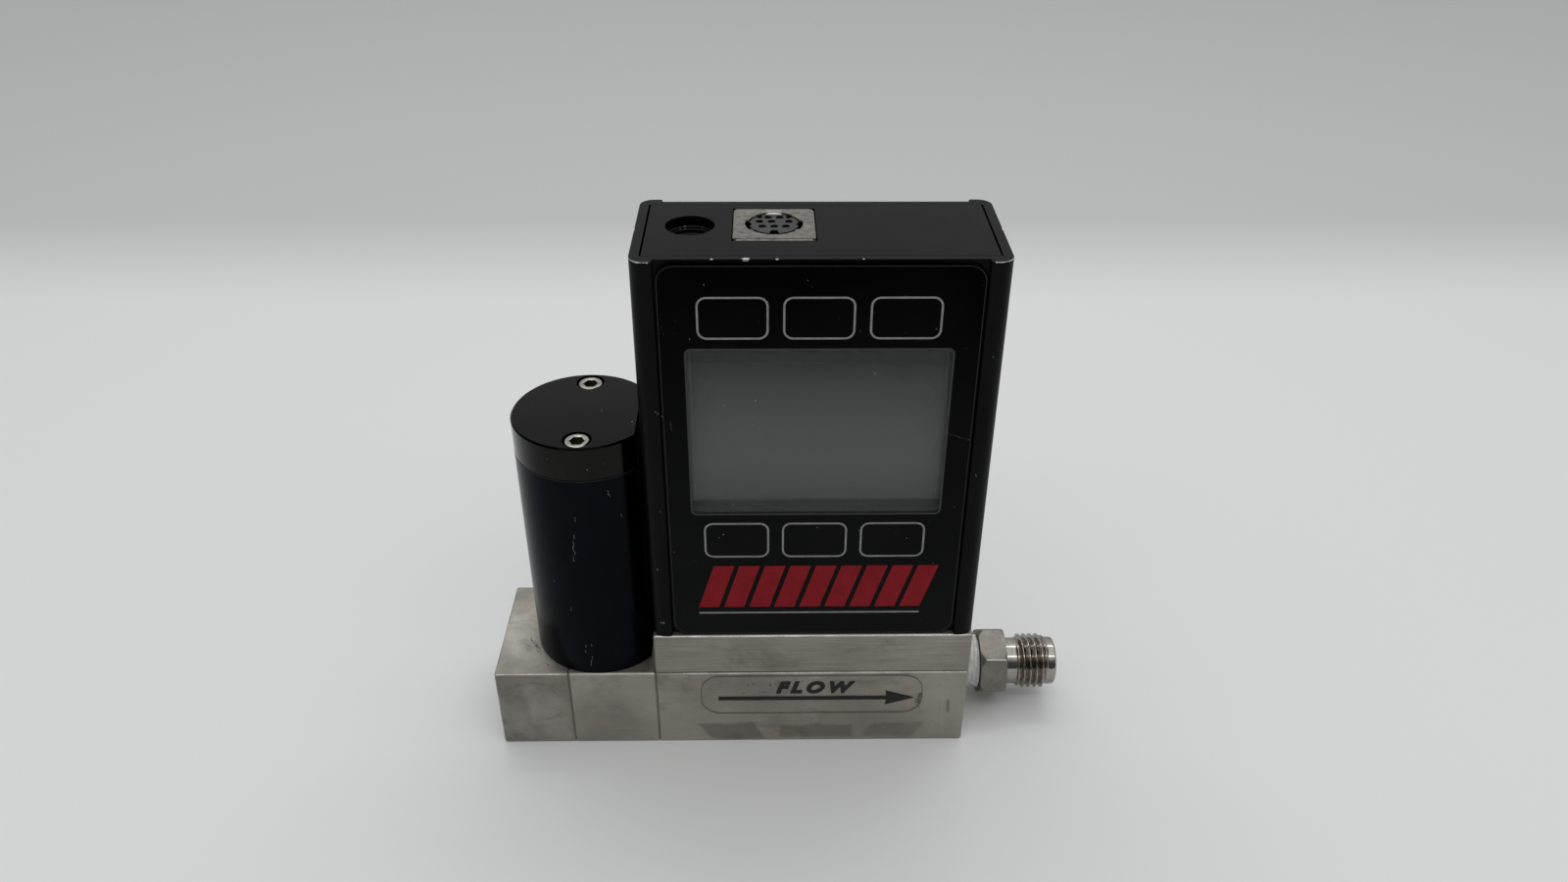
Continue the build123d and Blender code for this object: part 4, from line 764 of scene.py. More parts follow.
def makeScrews(name, node, seats, axis, shankLength, spec):
    piece = joinMeshes(name, [screwMesh(name, seat, axis, shankLength, spec) for seat in seats], 30)
    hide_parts(node)
    dress(piece, "stainless", smallSteel, socketBrown)
    # Faces inside the socket: nearer the screw's own line than the flats, and below the mouth.
    places, inSocket = facePlaces(piece), np.zeros(len(piece.data.polygons), bool)
    for seat in seats:
        away = places - seat
        height = away @ np.array(axis, float)
        reach = np.linalg.norm(away - height[:, None] * np.array(axis, float), axis=1)
        inSocket |= (reach < spec["socket"] / np.sqrt(3)) & (height < spec["height"] - 0.1) & (height > 0.5)
    chooseMaterials(piece, inSocket)


headReach = screwHead["radius"]
valveSeatZ = screwHigh[2] - screwHead["height"]
valveSeats = [(valveX, y, valveSeatZ) for y in (screwLow[1] + headReach, screwHigh[1] - headReach)]
makeScrews("valveCapScrews", "valve_screws", valveSeats, (0, 0, 1), valveSeatZ - screwLow[2], screwHead)
tieLow, tieHigh = boxOf("tie_screws")
tieX, tieZ = tieLow[0] + screwHead["height"], (tieLow[2] + tieHigh[2]) / 2
tieSeats = [(tieX, y, tieZ) for y in (tieLow[1] + headReach, tieHigh[1] - headReach)]
makeScrews("blockTieScrews", "tie_screws", tieSeats, (-1, 0, 0), tieHigh[0] - tieLow[0] - screwHead["height"], screwHead)


# Fills outlines in X and Y, holes included, and gives the sheet its thickness; worked in millimetres, then scaled.
def levelPlate(name, outlines, low, high):
    sheet = bpy.data.curves.new(name, "CURVE")
    sheet.dimensions = "2D"
    sheet.fill_mode = "BOTH"
    sheet.extrude = (high - low) / 2
    for outline in outlines:
        spline = sheet.splines.new("POLY")
        spline.points.add(len(outline) - 1)
        points = np.zeros((len(outline), 4))
        points[:, :2] = outline
        points[:, 3] = 1
        spline.points.foreach_set("co", points.ravel())
        spline.use_cyclic_u = True
    return curveMesh(name, sheet, lambda points: (points + (0, 0, (low + high) / 2)) * mm)


# Turns a filled curve into a mesh, welds its rims and puts it in place.
def curveMesh(name, curve, place):
    holder = addObject(name, curve)
    bpy.context.view_layer.update()
    mesh = bpy.data.meshes.new_from_object(holder.evaluated_get(bpy.context.evaluated_depsgraph_get()))
    bpy.data.objects.remove(holder)
    work = bmesh.new()
    work.from_mesh(mesh)
    bmesh.ops.remove_doubles(work, verts=work.verts, dist=0.0005)
    work.to_mesh(mesh)
    work.free()
    points = np.empty(len(mesh.vertices) * 3)
    mesh.vertices.foreach_get("co", points)
    mesh.vertices.foreach_set("co", place(points.reshape(-1, 3)).ravel())
    mesh.materials.clear()
    return mesh


# Circle whose radius changes with the angle: base radius plus steps between given angles, in degrees.
def steppedCircle(centre, radius, steps, count=180):
    degrees = np.arange(count) * 360 / count
    reach = np.full(count, float(radius))
    for start, end, change in steps:
        inside = (degrees - start) % 360 <= (end - start) % 360
        reach[inside] = change
    turn = np.radians(degrees)
    return np.stack([centre[0] + reach * np.cos(turn), centre[1] + reach * np.sin(turn)], 1)


# Square rings about an upright line: half widths and heights, one of each for every ring.
def squareRings(centre, halves, heights):
    square = np.array([(-1, -1), (1, -1), (1, 1), (-1, 1)])
    halves, heights = np.array(halves)[:, None], np.array(heights)[:, None]
    return gridOf(centre[0] + square[:, 0] * halves, centre[1] + square[:, 1] * halves, heights)


# Round keyed connector: a folded nickel shield with a lip at the front, and a notched insert with eight sockets.
connector = {
    "rise": 0.28, "half": 6.8, "backCorner": 1.0, "fold": 1.0, "foldGap": 0.1, "lipHalf": 6.25, "lipStart": 0.1,
    "plate": 0.35, "shift": 0.55, "opening": 4.5, "slot": 4.86, "foot": 4.75, "back": 4.78, "insert": 4.12,
    "insertDrop": 0.1, "socket": 0.67, "socketDepth": 0.38, "contact": 0.16, "skirt": 6.6, "skirtWall": 0.3,
    "tabHalf": 1.35, "tabRun": 1.5, "tabGap": 0.95, "tabDrop": 0.55, "tabThickness": 0.16, "coreHeight": 5,
    "notches": ((43, 56, 3.3), (122, 135, 3.3), (259, 281, 2.75), (350, 4, 3.75), (176, 190, 3.75)), "sockets": (
        (-0.98, 2.8), (0.98, 2.8), (-2.44, 0.98), (-0.39, 0.98), (2.5, 0.98), (-1.96, -1.1), (0.02, -1.1), (1.97, -1.1),
    ),
}


def makeConnector(spec):
    centre = (shieldLow[:2] + shieldHigh[:2]) / 2
    middle = centre + (0, spec["shift"])
    top = shieldHigh[2] + spec["rise"]
    under, inner = top - spec["plate"], spec["skirt"] - spec["skirtWall"]
    half, front = spec["half"], centre[1] - spec["half"]
    foldY = front + spec["fold"]
    corner = np.linspace(0, np.pi / 2, 8)[:, None]
    right = np.hstack([np.cos(corner), np.sin(corner)]) * spec["backCorner"] + (half - spec["backCorner"])
    outline = np.vstack([right, (right * (-1, 1))[::-1], [(-half, foldY - centre[1]), (half, foldY - centre[1])]]) + centre
    slots = ((328, 14, spec["slot"]), (166, 212, spec["slot"]), (222, 318, spec["foot"]), (50, 130, spec["back"]))
    opening = steppedCircle(middle, spec["opening"], slots)
    plate = levelPlate("plate", [outline, opening], under, top)
    lipHalf, lipFront, lipBack = spec["lipHalf"], front + spec["lipStart"], foldY - spec["foldGap"]
    lip = np.array([(-lipHalf, lipFront), (lipHalf, lipFront), (lipHalf, lipBack), (-lipHalf, lipBack)]) + (centre[0], 0)
    lipPlate = levelPlate("lip", [lip], under, top - 0.03)
    # Skirt: four thin walls under the plate.
    rings = squareRings(centre, [spec["skirt"]] * 2 + [inner] * 2, [shieldLow[2], under, under, shieldLow[2]])
    skirt = gridMesh("skirt", rings, wrapRows=True)
    # Contact tab: a strip bent down into the opening at the back through a sixth of a turn.
    bend = np.linspace(0, np.pi / 3, 6)[:, None]
    tabStart = middle[1] + spec["back"] + spec["tabGap"]
    across = np.linspace(-spec["tabHalf"], spec["tabHalf"], 5)
    spread, lift = np.concatenate([across, across[::-1]]), np.repeat([0.0, -spec["tabThickness"]], 5)
    heights = top + 0.05 - spec["tabDrop"] * (1 - np.cos(bend)) + lift
    tab = gridOf(centre[0] + spread, tabStart - spec["tabRun"] * np.sin(bend), heights)
    tabMesh = gridMesh("tab", tab, closeStart=True, closeEnd=True)
    shield = joinMeshes("connectorShield", [plate, lipPlate, skirt, tabMesh])
    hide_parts("connector_shield")
    dress(shield, "plated_shield", nickelShield, smallSteel)
    bevel = shield.modifiers.new("edges", "BEVEL")
    bevel.width = 0.06 * mm
    bevel.segments = 2
    bevel.limit_method = "ANGLE"
    x, y, z = (facePlaces(shield) - (centre[0], tabStart, top)).T
    chooseMaterials(shield, (np.abs(x) < spec["tabHalf"] + 0.01) & (y > -spec["tabRun"]) & (y < 0.01) & (z > -1))

    # Insert: notched disc with eight shallow sockets over a solid core with small contact holes.
    disc = steppedCircle(middle, spec["insert"], spec["notches"], 240)
    face = top - spec["insertDrop"]
    mouths = [steppedCircle(middle + spot, spec["socket"], (), 28) for spot in spec["sockets"]]
    holes = [steppedCircle(middle + spot + (0, -0.12), spec["contact"], (), 16) for spot in spec["sockets"]]
    upper = levelPlate("upper", [disc] + mouths, face - spec["socketDepth"], face)
    coreTop = insertLow[2] + spec["coreHeight"]
    lower = levelPlate("lower", [disc] + holes, coreTop, face - spec["socketDepth"] - 0.001)
    rings = squareRings(centre, [inner - 0.1] * 2, [insertLow[2], coreTop])
    base = gridMesh("base", rings, closeStart=True, closeEnd=True)
    insert = joinMeshes("connectorInsert", [upper, lower, base])
    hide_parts("connector_insert")
    dress(insert, "black_plastic", insertGrey, jointBlack)
    # Painted shade: the insert's side walls, those of the sockets among them, are black.
    directions = np.empty(len(insert.data.polygons) * 3)
    insert.data.polygons.foreach_get("normal", directions)
    chooseMaterials(insert, np.abs(directions[2::3]) < 0.5)


makeConnector(connector)


# Return spring: round wire on a helix between the plunger and the fixed core.
springWire = {"coil": 1.35, "wire": 0.2, "turns": 5, "steps": 200, "around": 10, "travel": 0.4}


def makeSpring(spec):
    low, high = boxOf("plunger_spring")
    middle = (low + high) / 2
    angle = np.linspace(0, 2 * np.pi * spec["turns"], spec["steps"])[:, None]
    height = np.linspace(low[2] + spec["wire"], high[2] - spec["wire"], spec["steps"])[:, None]
    section = fullTurn(spec["around"])
    reach = spec["coil"] + spec["wire"] * np.cos(section)
    grid = uprightGrid(middle, reach, angle, height + spec["wire"] * np.sin(section))
    piece = finishMesh("returnSpring", gridMesh("returnSpring", grid, closeStart=True, closeEnd=True), 50)
    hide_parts("plunger_spring")
    dress(piece, "stainless", smallSteel)
    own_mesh(piece)


makeSpring(springWire)


# Flake: a flat many-sided chip whose edge wanders, laid along two directions and sunk a little into what carries it.
def flakeMesh(centre, along, across, length, width, lift, chance, sides=12):
    turn = fullTurn(sides)
    reach = 1 + 0.5 * (chance.random(sides) - 0.5)
    along, across = np.array(along, float), np.array(across, float)
    normal = np.cross(along, across)
    lengthwise, sideways = np.cos(turn)[:, None] * along * length / 2, np.sin(turn)[:, None] * across * width / 2
    spread = reach[:, None] * (lengthwise + sideways)
    rings = [centre + spread - 0.03 * normal, centre + spread + lift * 0.4 * normal, centre + spread * 0.75 + lift * normal]
    return gridMesh("flake", np.stack(rings), closeStart=True, closeEnd=True)


# Scratch: short flakes one after another along a straight run, with gaps and sideways wander.
def scratchMeshes(start, end, normal, width, share, chance):
    start, end, normal = (np.array(part, float) for part in (start, end, normal))
    run = end - start
    distance = np.linalg.norm(run)
    along = run / distance
    across = np.cross(normal, along)
    count = max(2, int(distance / 0.5))
    meshes = []
    for place in (np.arange(count) + 0.5) / count:
        spot = start + run * place + across * width * (chance.random() - 0.5) * 1.4
        length = distance / count * share * (0.7 + 0.6 * chance.random())
        meshes.append(flakeMesh(spot, along, across, length, width * (0.6 + 0.7 * chance.random()), 0.015, chance, 8))
    return meshes


def addMarks(name, meshes, material, slot):
    addPiece(name, meshes, material, slot, 50)


# Chips, scratches and specks: places in millimetres; can marks as angle round the can and height.
frontWall = overlayLow[1] + 0.8
marks = {
    "edgeChips": (
        (-6.33, 1.25, 0.62), (-11.7, 0.5, 0.26), (-1.41, 0.55, 0.24), (12.2, 0.4, 0.14),
    ),
    "canTicks": (
        (-94.6, 55.9, -95.2, 54.7, 0.13), (-97.2, 51.9, -97.6, 50.9, 0.14), (-98.9, 50.6, -98.4, 49.2, 0.12),
        (-99.6, 49.3, -99.2, 47.9, 0.16), (-97.9, 48.1, -98.4, 47.2, 0.12), (-100.2, 47.0, -99.6, 45.6, 0.14),
        (-68.4, 61.0, -67.2, 59.9, 0.11), (-67.2, 59.9, -66.4, 59.4, 0.1), (-58.9, 55.2, -58.3, 54.3, 0.18),
        (-106.8, 34.8, -106.9, 33.6, 0.14), (-97.5, 25.6, -97.9, 24.8, 0.16), (-98.6, 24.2, -98.2, 23.6, 0.2),
        (-93.2, 22.9, -94.1, 21.6, 0.13), (-94.6, 21.7, -95.0, 20.2, 0.12), (-92.6, 25.9, -92.7, 25.2, 0.13),
        (-120.5, 40.2, -120.6, 39.6, 0.1),
    ),
    "capSpecks": (
        (-32.8, -0.3, 0.22), (-27.0, -4.2, 0.26), (-26.7, -4.9, 0.16), (-27.6, -4.7, 0.13), (-26.4, -3.7, 0.13),
        (-27.1, -5.5, 0.12), (-45.6, 3.1, 0.1), (-39.2, -8.3, 0.1),
    ),
    "capSideSpecks": (
        (-82.0, 65.9, 0.28), (-69.0, 66.6, 0.12), (-113.0, 67.6, 0.16),
    ),
    "windowSpecks": (
        (14.84, 84.77, 0.3), (-4.98, 79.57, 0.28), (-10.25, 78.63, 0.24), (-5.68, 74.74, 0.2),
        (5.61, 67.7, 0.22), (-9.1, 58.1, 0.26), (14.4, 78.3, 0.14), (23.1, 70.4, 0.12),
    ),
    "overlaySpecks": (
        (-13.0, 100.9, 0.2), (3.4, 101.6, 0.18), (19.6, 98.7, 0.22), (24.4, 93.0, 0.18), (-15.6, 91.2, 0.16),
        (12.0, 92.6, 0.16), (-11.0, 51.6, 0.3), (-11.7, 50.9, 0.2), (5.9, 53.1, 0.16), (13.4, 52.4, 0.16),
        (22.1, 50.6, 0.18), (-20.0, 47.7, 0.14), (27.3, 44.8, 0.14), (30.2, 57.5, 0.12),
    ),
    "overlayScratches": ((27.6, 73.1, 31.7, 71.5, 0.07, 0.5), (-19.45, 75.6, -19.3, 73.6, 0.08, 0.4)),
    "inletSmudges": (
        (-50.7, -2.8, -49.2, -5.2, 0.22), (-49.2, -5.2, -48.1, -6.7, 0.26), (-49.6, -3.6, -48.6, -5.6, 0.16),
        (-48.9, -6.4, -47.9, -7.6, 0.18), (-46.5, -10.4, -45.9, -10.9, 0.24), (-53.6, -11.1, -53.2, -11.2, 0.2),
        (-51.4, -4.6, -50.2, -5.6, 0.14),
    ),
    "flangeTicks": (
        (-21.9, 77.9, -21.2, 77.2, 0.13), (-20.9, 76.9, -20.5, 76.7, 0.12), (-23.05, 31.5, -22.75, 31.0, 0.34),
        (-23.3, 44.2, -23.1, 43.9, 0.16), (-22.0, 57.3, -21.9, 56.8, 0.12), (33.2, 64.9, 33.4, 64.3, 0.12),
        (34.0, 88.2, 34.1, 87.9, 0.1),
    ),
}


def makeMarks(spec):
    chance = np.random.default_rng(11)
    eastward, upward, inward = np.array([1.0, 0, 0]), np.array([0, 0, 1.0]), np.array([0, 1.0, 0])
    chips = []
    for x, length, width in spec["edgeChips"]:
        spot = (x, frontWall + width * 0.35, shellHigh[2])
        chips.append(flakeMesh(spot, eastward, inward, length, width, 0.04, chance, 16))
        spot = (x, frontWall, shellHigh[2] - width * 0.3)
        chips.append(flakeMesh(spot, eastward, upward, length * 0.85, width * 0.7, 0.03, chance, 14))
    addMarks("edgeChips", chips, bareMetalAndHighlight, "black_anodised")
    canMarks = []
    for startAngle, startZ, endAngle, endZ, width in spec["canTicks"]:
        first, last = np.radians(startAngle), np.radians(endAngle)
        start = (valveX + canRadius * np.cos(first), canRadius * np.sin(first), startZ)
        end = (valveX + canRadius * np.cos(last), canRadius * np.sin(last), endZ)
        middle = (first + last) / 2
        canMarks += scratchMeshes(start, end, (np.cos(middle), np.sin(middle), 0), width * 0.75, 0.95, chance)
    for angle, z, size in spec["capSideSpecks"]:
        turn = np.radians(angle)
        outward = np.array([np.cos(turn), np.sin(turn), 0])
        spot = np.array([valveX, 0, z]) + outward * canRadius
        canMarks.append(flakeMesh(spot, np.cross(upward, outward), upward, size, size * 0.8, 0.02, chance))
    for x, y, size in spec["capSpecks"]:
        canMarks.append(flakeMesh((x, y, capHigh[2]), eastward, inward, size, size * 1.3, 0.02, chance))
    addMarks("canMarks", canMarks, scratchGrey, "black_anodised")
    specks = []
    for key in ("windowSpecks", "overlaySpecks"):
        for x, z, size in spec[key]:
            width = size * (0.7 + 0.6 * chance.random())
            specks.append(flakeMesh((x, overlayLow[1], z), eastward, upward, size, width, 0.02, chance))
    for startX, startZ, endX, endZ, width in spec["flangeTicks"]:
        start, end = (startX, shellLow[1], startZ), (endX, shellLow[1], endZ)
        specks += scratchMeshes(start, end, (0, -1, 0), width, 0.95, chance)
    for startX, startZ, endX, endZ, width, share in spec["overlayScratches"]:
        start, end = (startX, overlayLow[1], startZ), (endX, overlayLow[1], endZ)
        specks += scratchMeshes(start, end, (0, -1, 0), width, share, chance)
    addMarks("dustSpecks", specks, scratchGrey, "overlay_film")
    smudges = []
    for startX, startY, endX, endY, width in spec["inletSmudges"]:
        start, end = (startX, startY, inletHigh[2]), (endX, endY, inletHigh[2])
        smudges += scratchMeshes(start, end, (0, 0, 1), width, 1.2, chance)
    addMarks("inletSmudges", smudges, tarnishGrey, "block_aluminium")


makeMarks(marks)


# Worn corners: thin strips of bare metal along the top edges of the two front flanges, thicker in places; they stand
# both for worn anodising and for a painted highlight on the edge.
wornAndHighlit = {"width": 0.15, "depth": 0.1, "wander": 0.75, "corner": 2.4, "flange": 3.8, "knots": 14}


def makeWornEdgesAndHighlights(spec):
    chance = np.random.default_rng(5)
    strips = []
    for side in (-1, 1):
        outer = shellLow[0] if side < 0 else shellHigh[0]
        inner = outer - side * (spec["flange"] - 0.5)
        bendX = outer - side * spec["corner"]
        straight = np.stack([np.linspace(inner, bendX, 24), np.full(24, shellLow[1])], 1)
        turn = np.linspace(0, np.pi / 2, 16)[1:]
        bend = np.stack([bendX + side * spec["corner"] * np.sin(turn), shellLow[1] + spec["corner"] * (1 - np.cos(turn))], 1)
        path = np.vstack([straight, bend])
        ahead = headingsOf(path)
        outward = np.stack([ahead[:, 1], -ahead[:, 0]], 1) * side
        count, knots = len(path), spec["knots"]
        wander = 1 + spec["wander"] * (chance.random(knots) - 0.5) * 2
        reach = np.interp(np.arange(count), np.linspace(0, count - 1, knots), wander)
        reach *= np.interp(np.arange(count), [0, 3, count * 0.7, count - 1], [0.3, 1, 0.8, 0.15])
        # Five points across: what lies inside the corner follows the wandering reach.
        sideways, down = np.array([(0.03, 0), (0.03, -0.6), (0, -1), (-1, 0), (-0.6, 0.03)]).T
        offsets = sideways * spec["depth"] * np.where(sideways < 0, reach[:, None], 1)
        drops = down * spec["width"] * np.where(down < 0, reach[:, None], 1)
        edges = path[:, None] + outward[:, None] * offsets[..., None]
        grid = gridOf(edges[..., 0], edges[..., 1], shellHigh[2] + 0.012 + drops)
        strips.append(gridMesh("strip", grid, closeStart=True, closeEnd=True))
    addMarks("wornEdgesAndHighlights", strips, bareMetalAndHighlight, "black_anodised")


makeWornEdgesAndHighlights(wornAndHighlit)


# Outline of the can seen from above: the turned circle cut off by the milled flat, grown by an offset.
def canOutline(offset, steps=150):
    start = np.arccos((canHigh[0] - valveX) / canRadius)
    turn = np.linspace(start, 2 * np.pi - start, steps)
    return np.stack([valveX + (canRadius + offset) * np.cos(turn), (canRadius + offset) * np.sin(turn)], 1)


# Joint between can and cap: a fine dark line with a lighter line just below it.
def makeJoint():
    bands = []
    for low, high, reach in ((canHigh[2] - 0.05, canHigh[2] + 0.13, 0.012), (canHigh[2] - 0.2, canHigh[2] - 0.07, 0.014)):
        inner, outer = canOutline(-0.05), canOutline(reach)
        rings = np.stack([inner, outer, outer, inner])
        grid = gridOf(rings[..., 0], rings[..., 1], np.array([low, low, high, high])[:, None])
        bands.append(gridMesh("band", grid, wrapRows=True))
    addMarks("capJointLine", bands[:1], jointBlack, "black_anodised")
    addMarks("capLighterLine", bands[1:], lighterJointEdge, "black_anodised")


makeJoint()


# Machined edges: painted highlights as bright strips on the chamfers of the blocks, of wandering width, and a fine dark
# joint line.
blockEdges = {
    "chamfer": 0.3, "proud": 0.012, "joint": 0.15,
    "runs": (
        (inletLow[0] + 0.3, -43.5, inletLow[1], inletHigh[2], 0.8),
        (-38.5, flowLow[0] - 0.3, inletLow[1], inletHigh[2], 0.5),
        (-19.5, flowHigh[0] - 0.3, flowLow[1], flowHigh[2], 0.75),
        (sensorLow[0] + 0.3, sensorHigh[0] - 0.3, sensorLow[1], shellLow[2], 0.85),
    ),
}


def makeBlockEdges(spec):
    chance = np.random.default_rng(17)
    strips = []
    for startX, endX, front, top, share in spec["runs"]:
        x = np.linspace(startX, endX, int((endX - startX) / 0.4))
        knots = np.linspace(startX, endX, max(6, len(x) // 5))
        reach = np.interp(x, knots, share * (0.3 + 0.7 * chance.random(len(knots)))) * spec["chamfer"] / 2
        middle, proud = spec["chamfer"] / 2, spec["proud"]
        # Across the chamfer's slope: lower edge and upper edge, each at the face and just inside it.
        climb = np.array([-1, 1, 1, -1]) * reach[:, None]
        lift = np.array([proud, proud, -proud, -proud])
        grid = gridOf(x[:, None], front + middle + climb - lift, top - middle + climb + lift)
        strips.append(gridMesh("strip", grid, closeStart=True, closeEnd=True))
    addMarks("paintedEdgeHighlights", strips, paintedHighlight, "block_aluminium")
    x = np.linspace(flowLow[0] + 0.3, flowHigh[0] - 0.3, 90)
    path = np.stack([x, np.full(len(x), sensorLow[2] + spec["chamfer"])], 1)
    width = spec["joint"] * np.interp(x, x[::6], 0.5 + 0.9 * chance.random(len(x[::6])))
    joint = lineMesh("joint", path, width, sensorLow[1] + 0.05, sensorLow[1] - spec["proud"], closed=False)
    addMarks("jointLine", [joint], seamDark, "block_aluminium")


makeBlockEdges(blockEdges)


# Collar low in the power socket's opening: two rings with a small round section, and a few painted glints.
collar = {
    "centre": (-15.78, 1.67), "radius": 4.03, "section": 0.11, "height": 102.55, "upper": 0.5, "columns": 72, "around": 8,
    "paintedGlints": ((106, 0.62, 0.42), (105, 0.2, 0.26), (118, 0.3, 0.18), (62, 0.4, 0.16)),
}


def makeCollar(spec):
    turn, small = fullTurn(spec["columns"])[:, None], fullTurn(spec["around"])
    reach = spec["radius"] + spec["section"] * np.cos(small)
    rings = []
    for lift in (0, spec["upper"]):
        grid = uprightGrid(spec["centre"], reach, turn, spec["height"] + lift + spec["section"] * np.sin(small))
        rings.append(gridMesh("ring", grid, wrapRows=True))
    addMarks("socketCollar", rings, collarGrey, "black_plastic")
    chance = np.random.default_rng(23)
    paintedGlints = []
    for angle, rise, size in spec["paintedGlints"]:
        outward = np.array([np.cos(np.radians(angle)), np.sin(np.radians(angle)), 0])
        spot = np.array([*spec["centre"], spec["height"] + rise]) + outward * (spec["radius"] - spec["section"])
        paintedGlints.append(flakeMesh(spot, np.cross(outward, (0, 0, 1)), (0, 0, 1), size, size * 0.6, 0.03, chance))
    addMarks("socketPaintedGlints", paintedGlints, paintedHighlight, "black_plastic")


makeCollar(collar)


# Fine lighter rim just inside the overlay's edge: a painted highlight along the film's edge.
rimOutline = frontOutline(overlayLow, overlayHigh, 0.5, 2.8)
rimLine = lineMesh("rim", rimOutline, 0.13, overlayLow[1] + 0.02, overlayLow[1] - 0.015)
addPiece("overlayRimHighlight", [rimLine], rimHighlightGrey, "overlay_film")

# Key outlines: six rounded rectangles printed in light grey on the overlay.
keyPrint = {
    "columns": (-8.60, 5.42, 19.47), "rows": ((94.95, 7.3), (50.3, 7.4)), "length": 11.35, "corner": 1.5,
    "line": 0.34, "thickness": 0.03, "window": 0.3,
}
printFront = overlayLow[1] - keyPrint["thickness"]
printBack = overlayLow[1] + 0.02
greyInk = plainFinish("light grey ink", (0.3, 0.3, 0.3), (0.2, 0.2, 0.2), 0.45, scale=900, bump=0.000004, specular=0.3)
keyLines = []
for x in keyPrint["columns"]:
    for z, height in keyPrint["rows"]:
        outline = roundedOutline(x, z, keyPrint["length"], height, keyPrint["corner"])
        keyLines.append(lineMesh("key", outline, keyPrint["line"], printBack, printFront))
addPiece("keyOutlines", keyLines, greyInk, "overlay_film")

# Thin lighter edge round the window.
dimInk = plainFinish(
    "dim grey ink", (0.042, 0.044, 0.043), (0.03, 0.031, 0.03), 0.4, scale=700, bump=0.000004, specular=0.3,
)
windowLine = lineMesh("rim", frontOutline(windowLow, windowHigh, 0, 1.0), keyPrint["window"], printBack, printFront)
addPiece("windowRim", [windowLine], dimInk, "overlay_film")

# Plain decoration under the lower keys: a row of equal slanted red bars over a thin grey rule.
redBars = {
    "count": 9, "left": -15.9, "right": 28.4, "low": 34.7, "high": 44.4, "gap": 0.9, "slant": 3.0,
    "ruleHeight": 33.3, "rule": 0.35,
}
redInk = plainFinish("red ink", (0.26, 0.006, 0.013), (0.21, 0.005, 0.011), 0.5, scale=500, bump=0.000004, specular=0.15)


def makeBars(spec):
    span = spec["right"] - spec["left"] - spec["slant"]
    width = (span + spec["gap"]) / spec["count"] - spec["gap"]
    bars = []
    for number in range(spec["count"]):
        left = spec["left"] + number * (width + spec["gap"])
        outline = np.array([
            (left, spec["low"]), (left + width, spec["low"]),
            (left + width + spec["slant"], spec["high"]), (left + spec["slant"], spec["high"]),
        ])
        bars.append(plateMesh("bar", outline, printBack, printFront))
    addPiece("redBars", bars, redInk, "overlay_film")
    rulePath = np.array([(spec["left"], spec["ruleHeight"]), (spec["right"] - spec["slant"], spec["ruleHeight"])])
    rule = lineMesh("rule", rulePath, spec["rule"], printBack, printFront, closed=False)
    addPiece("greyRule", [rule], greyInk, "overlay_film")


makeBars(redBars)


# Flow arrow and the generic word above it, printed on the label film.
arrow = {
    "left": -12.8, "neck": 20.1, "tip": 25.8, "height": 11.65, "shaft": 0.88, "barb": 3.7, "notch": 0.25,
    "word": "FLOW", "wordLeft": -1.5, "wordRight": 14.1, "wordLow": 12.9, "wordHigh": 16.12, "thickness": 0.03,
    "shear": 0.3, "thicken": 0.06, "spacing": 1.42,
}
labelFront = labelLow[1] - arrow["thickness"]
labelBack = labelLow[1] + 0.02
blackInk = plainFinish(
    "black ink", (0.006, 0.006, 0.006), (0.014, 0.014, 0.014), 0.5, scale=900, bump=0.000004, specular=0.3,
)


def arrowMesh(spec):
    half, barb, notch = spec["shaft"] / 2, spec["barb"] / 2, spec["neck"] + spec["notch"]
    shaft = np.array([(spec["left"], -half), (notch, -half), (notch, half), (spec["left"], half)])
    head = np.array([(spec["neck"], -barb), (spec["tip"], 0), (spec["neck"], barb), (notch, 0)])
    return [plateMesh("arrow", part + (0, spec["height"]), labelBack, labelFront) for part in (shaft, head)]


# The word: built-in lettering, slanted, made a mesh and fitted to its box on the label.
def wordMesh(spec):
    letters = bpy.data.curves.new("word", "FONT")
    letters.body = spec["word"]
    letters.shear, letters.offset, letters.space_character = spec["shear"], spec["thicken"], spec["spacing"]
    letters.extrude = 0.02
    letters.resolution_u = 6

    def place(points):
        low, high = points.min(0), points.max(0)
        across, up, depth = (points - low).T / (high - low)[:, None]
        x = spec["wordLeft"] + across * (spec["wordRight"] - spec["wordLeft"])
        y = labelBack + depth * (labelFront - labelBack)
        return gridOf(x, y, spec["wordLow"] + up * (spec["wordHigh"] - spec["wordLow"])) * mm

    return curveMesh("word", letters, place)


addPiece("flowArrow", arrowMesh(arrow) + [wordMesh(arrow)], blackInk, "label_film")
print("pieces made")

# Clear label film over the metal: nearly unseen, with a fine dark cut edge and a few blemishes.
labelFilm, filmShader = newMaterial("clear label film", colour=(0.62, 0.6, 0.55, 1), metal=0.3, roughness=0.4, specular=0.5)
filmHaze = noiseOn(labelFilm, 120, detail=4)
join(labelFilm, remap(labelFilm, filmHaze, 0.3, 0.7, 0.01, 0.05), filmShader.inputs["Alpha"])
paint(labelFilm, "flow_label")
film = {
    "corner": 3.8, "line": 0.15, "inset": 0.1,
    "spots": ((-7.0, 15.2, 0.34), (-2.6, 15.2, 0.4), (-9.0, 13.3, 0.22), (-4.6, 13.4, 0.24), (-10.6, 9.4, 0.16)),
    "grains": 46, "grainX": 26.9, "grainZ": 11.3, "spreadX": 0.32, "spreadZ": 1.5, "keptZ": 12.6, "keptReach": 4,
}


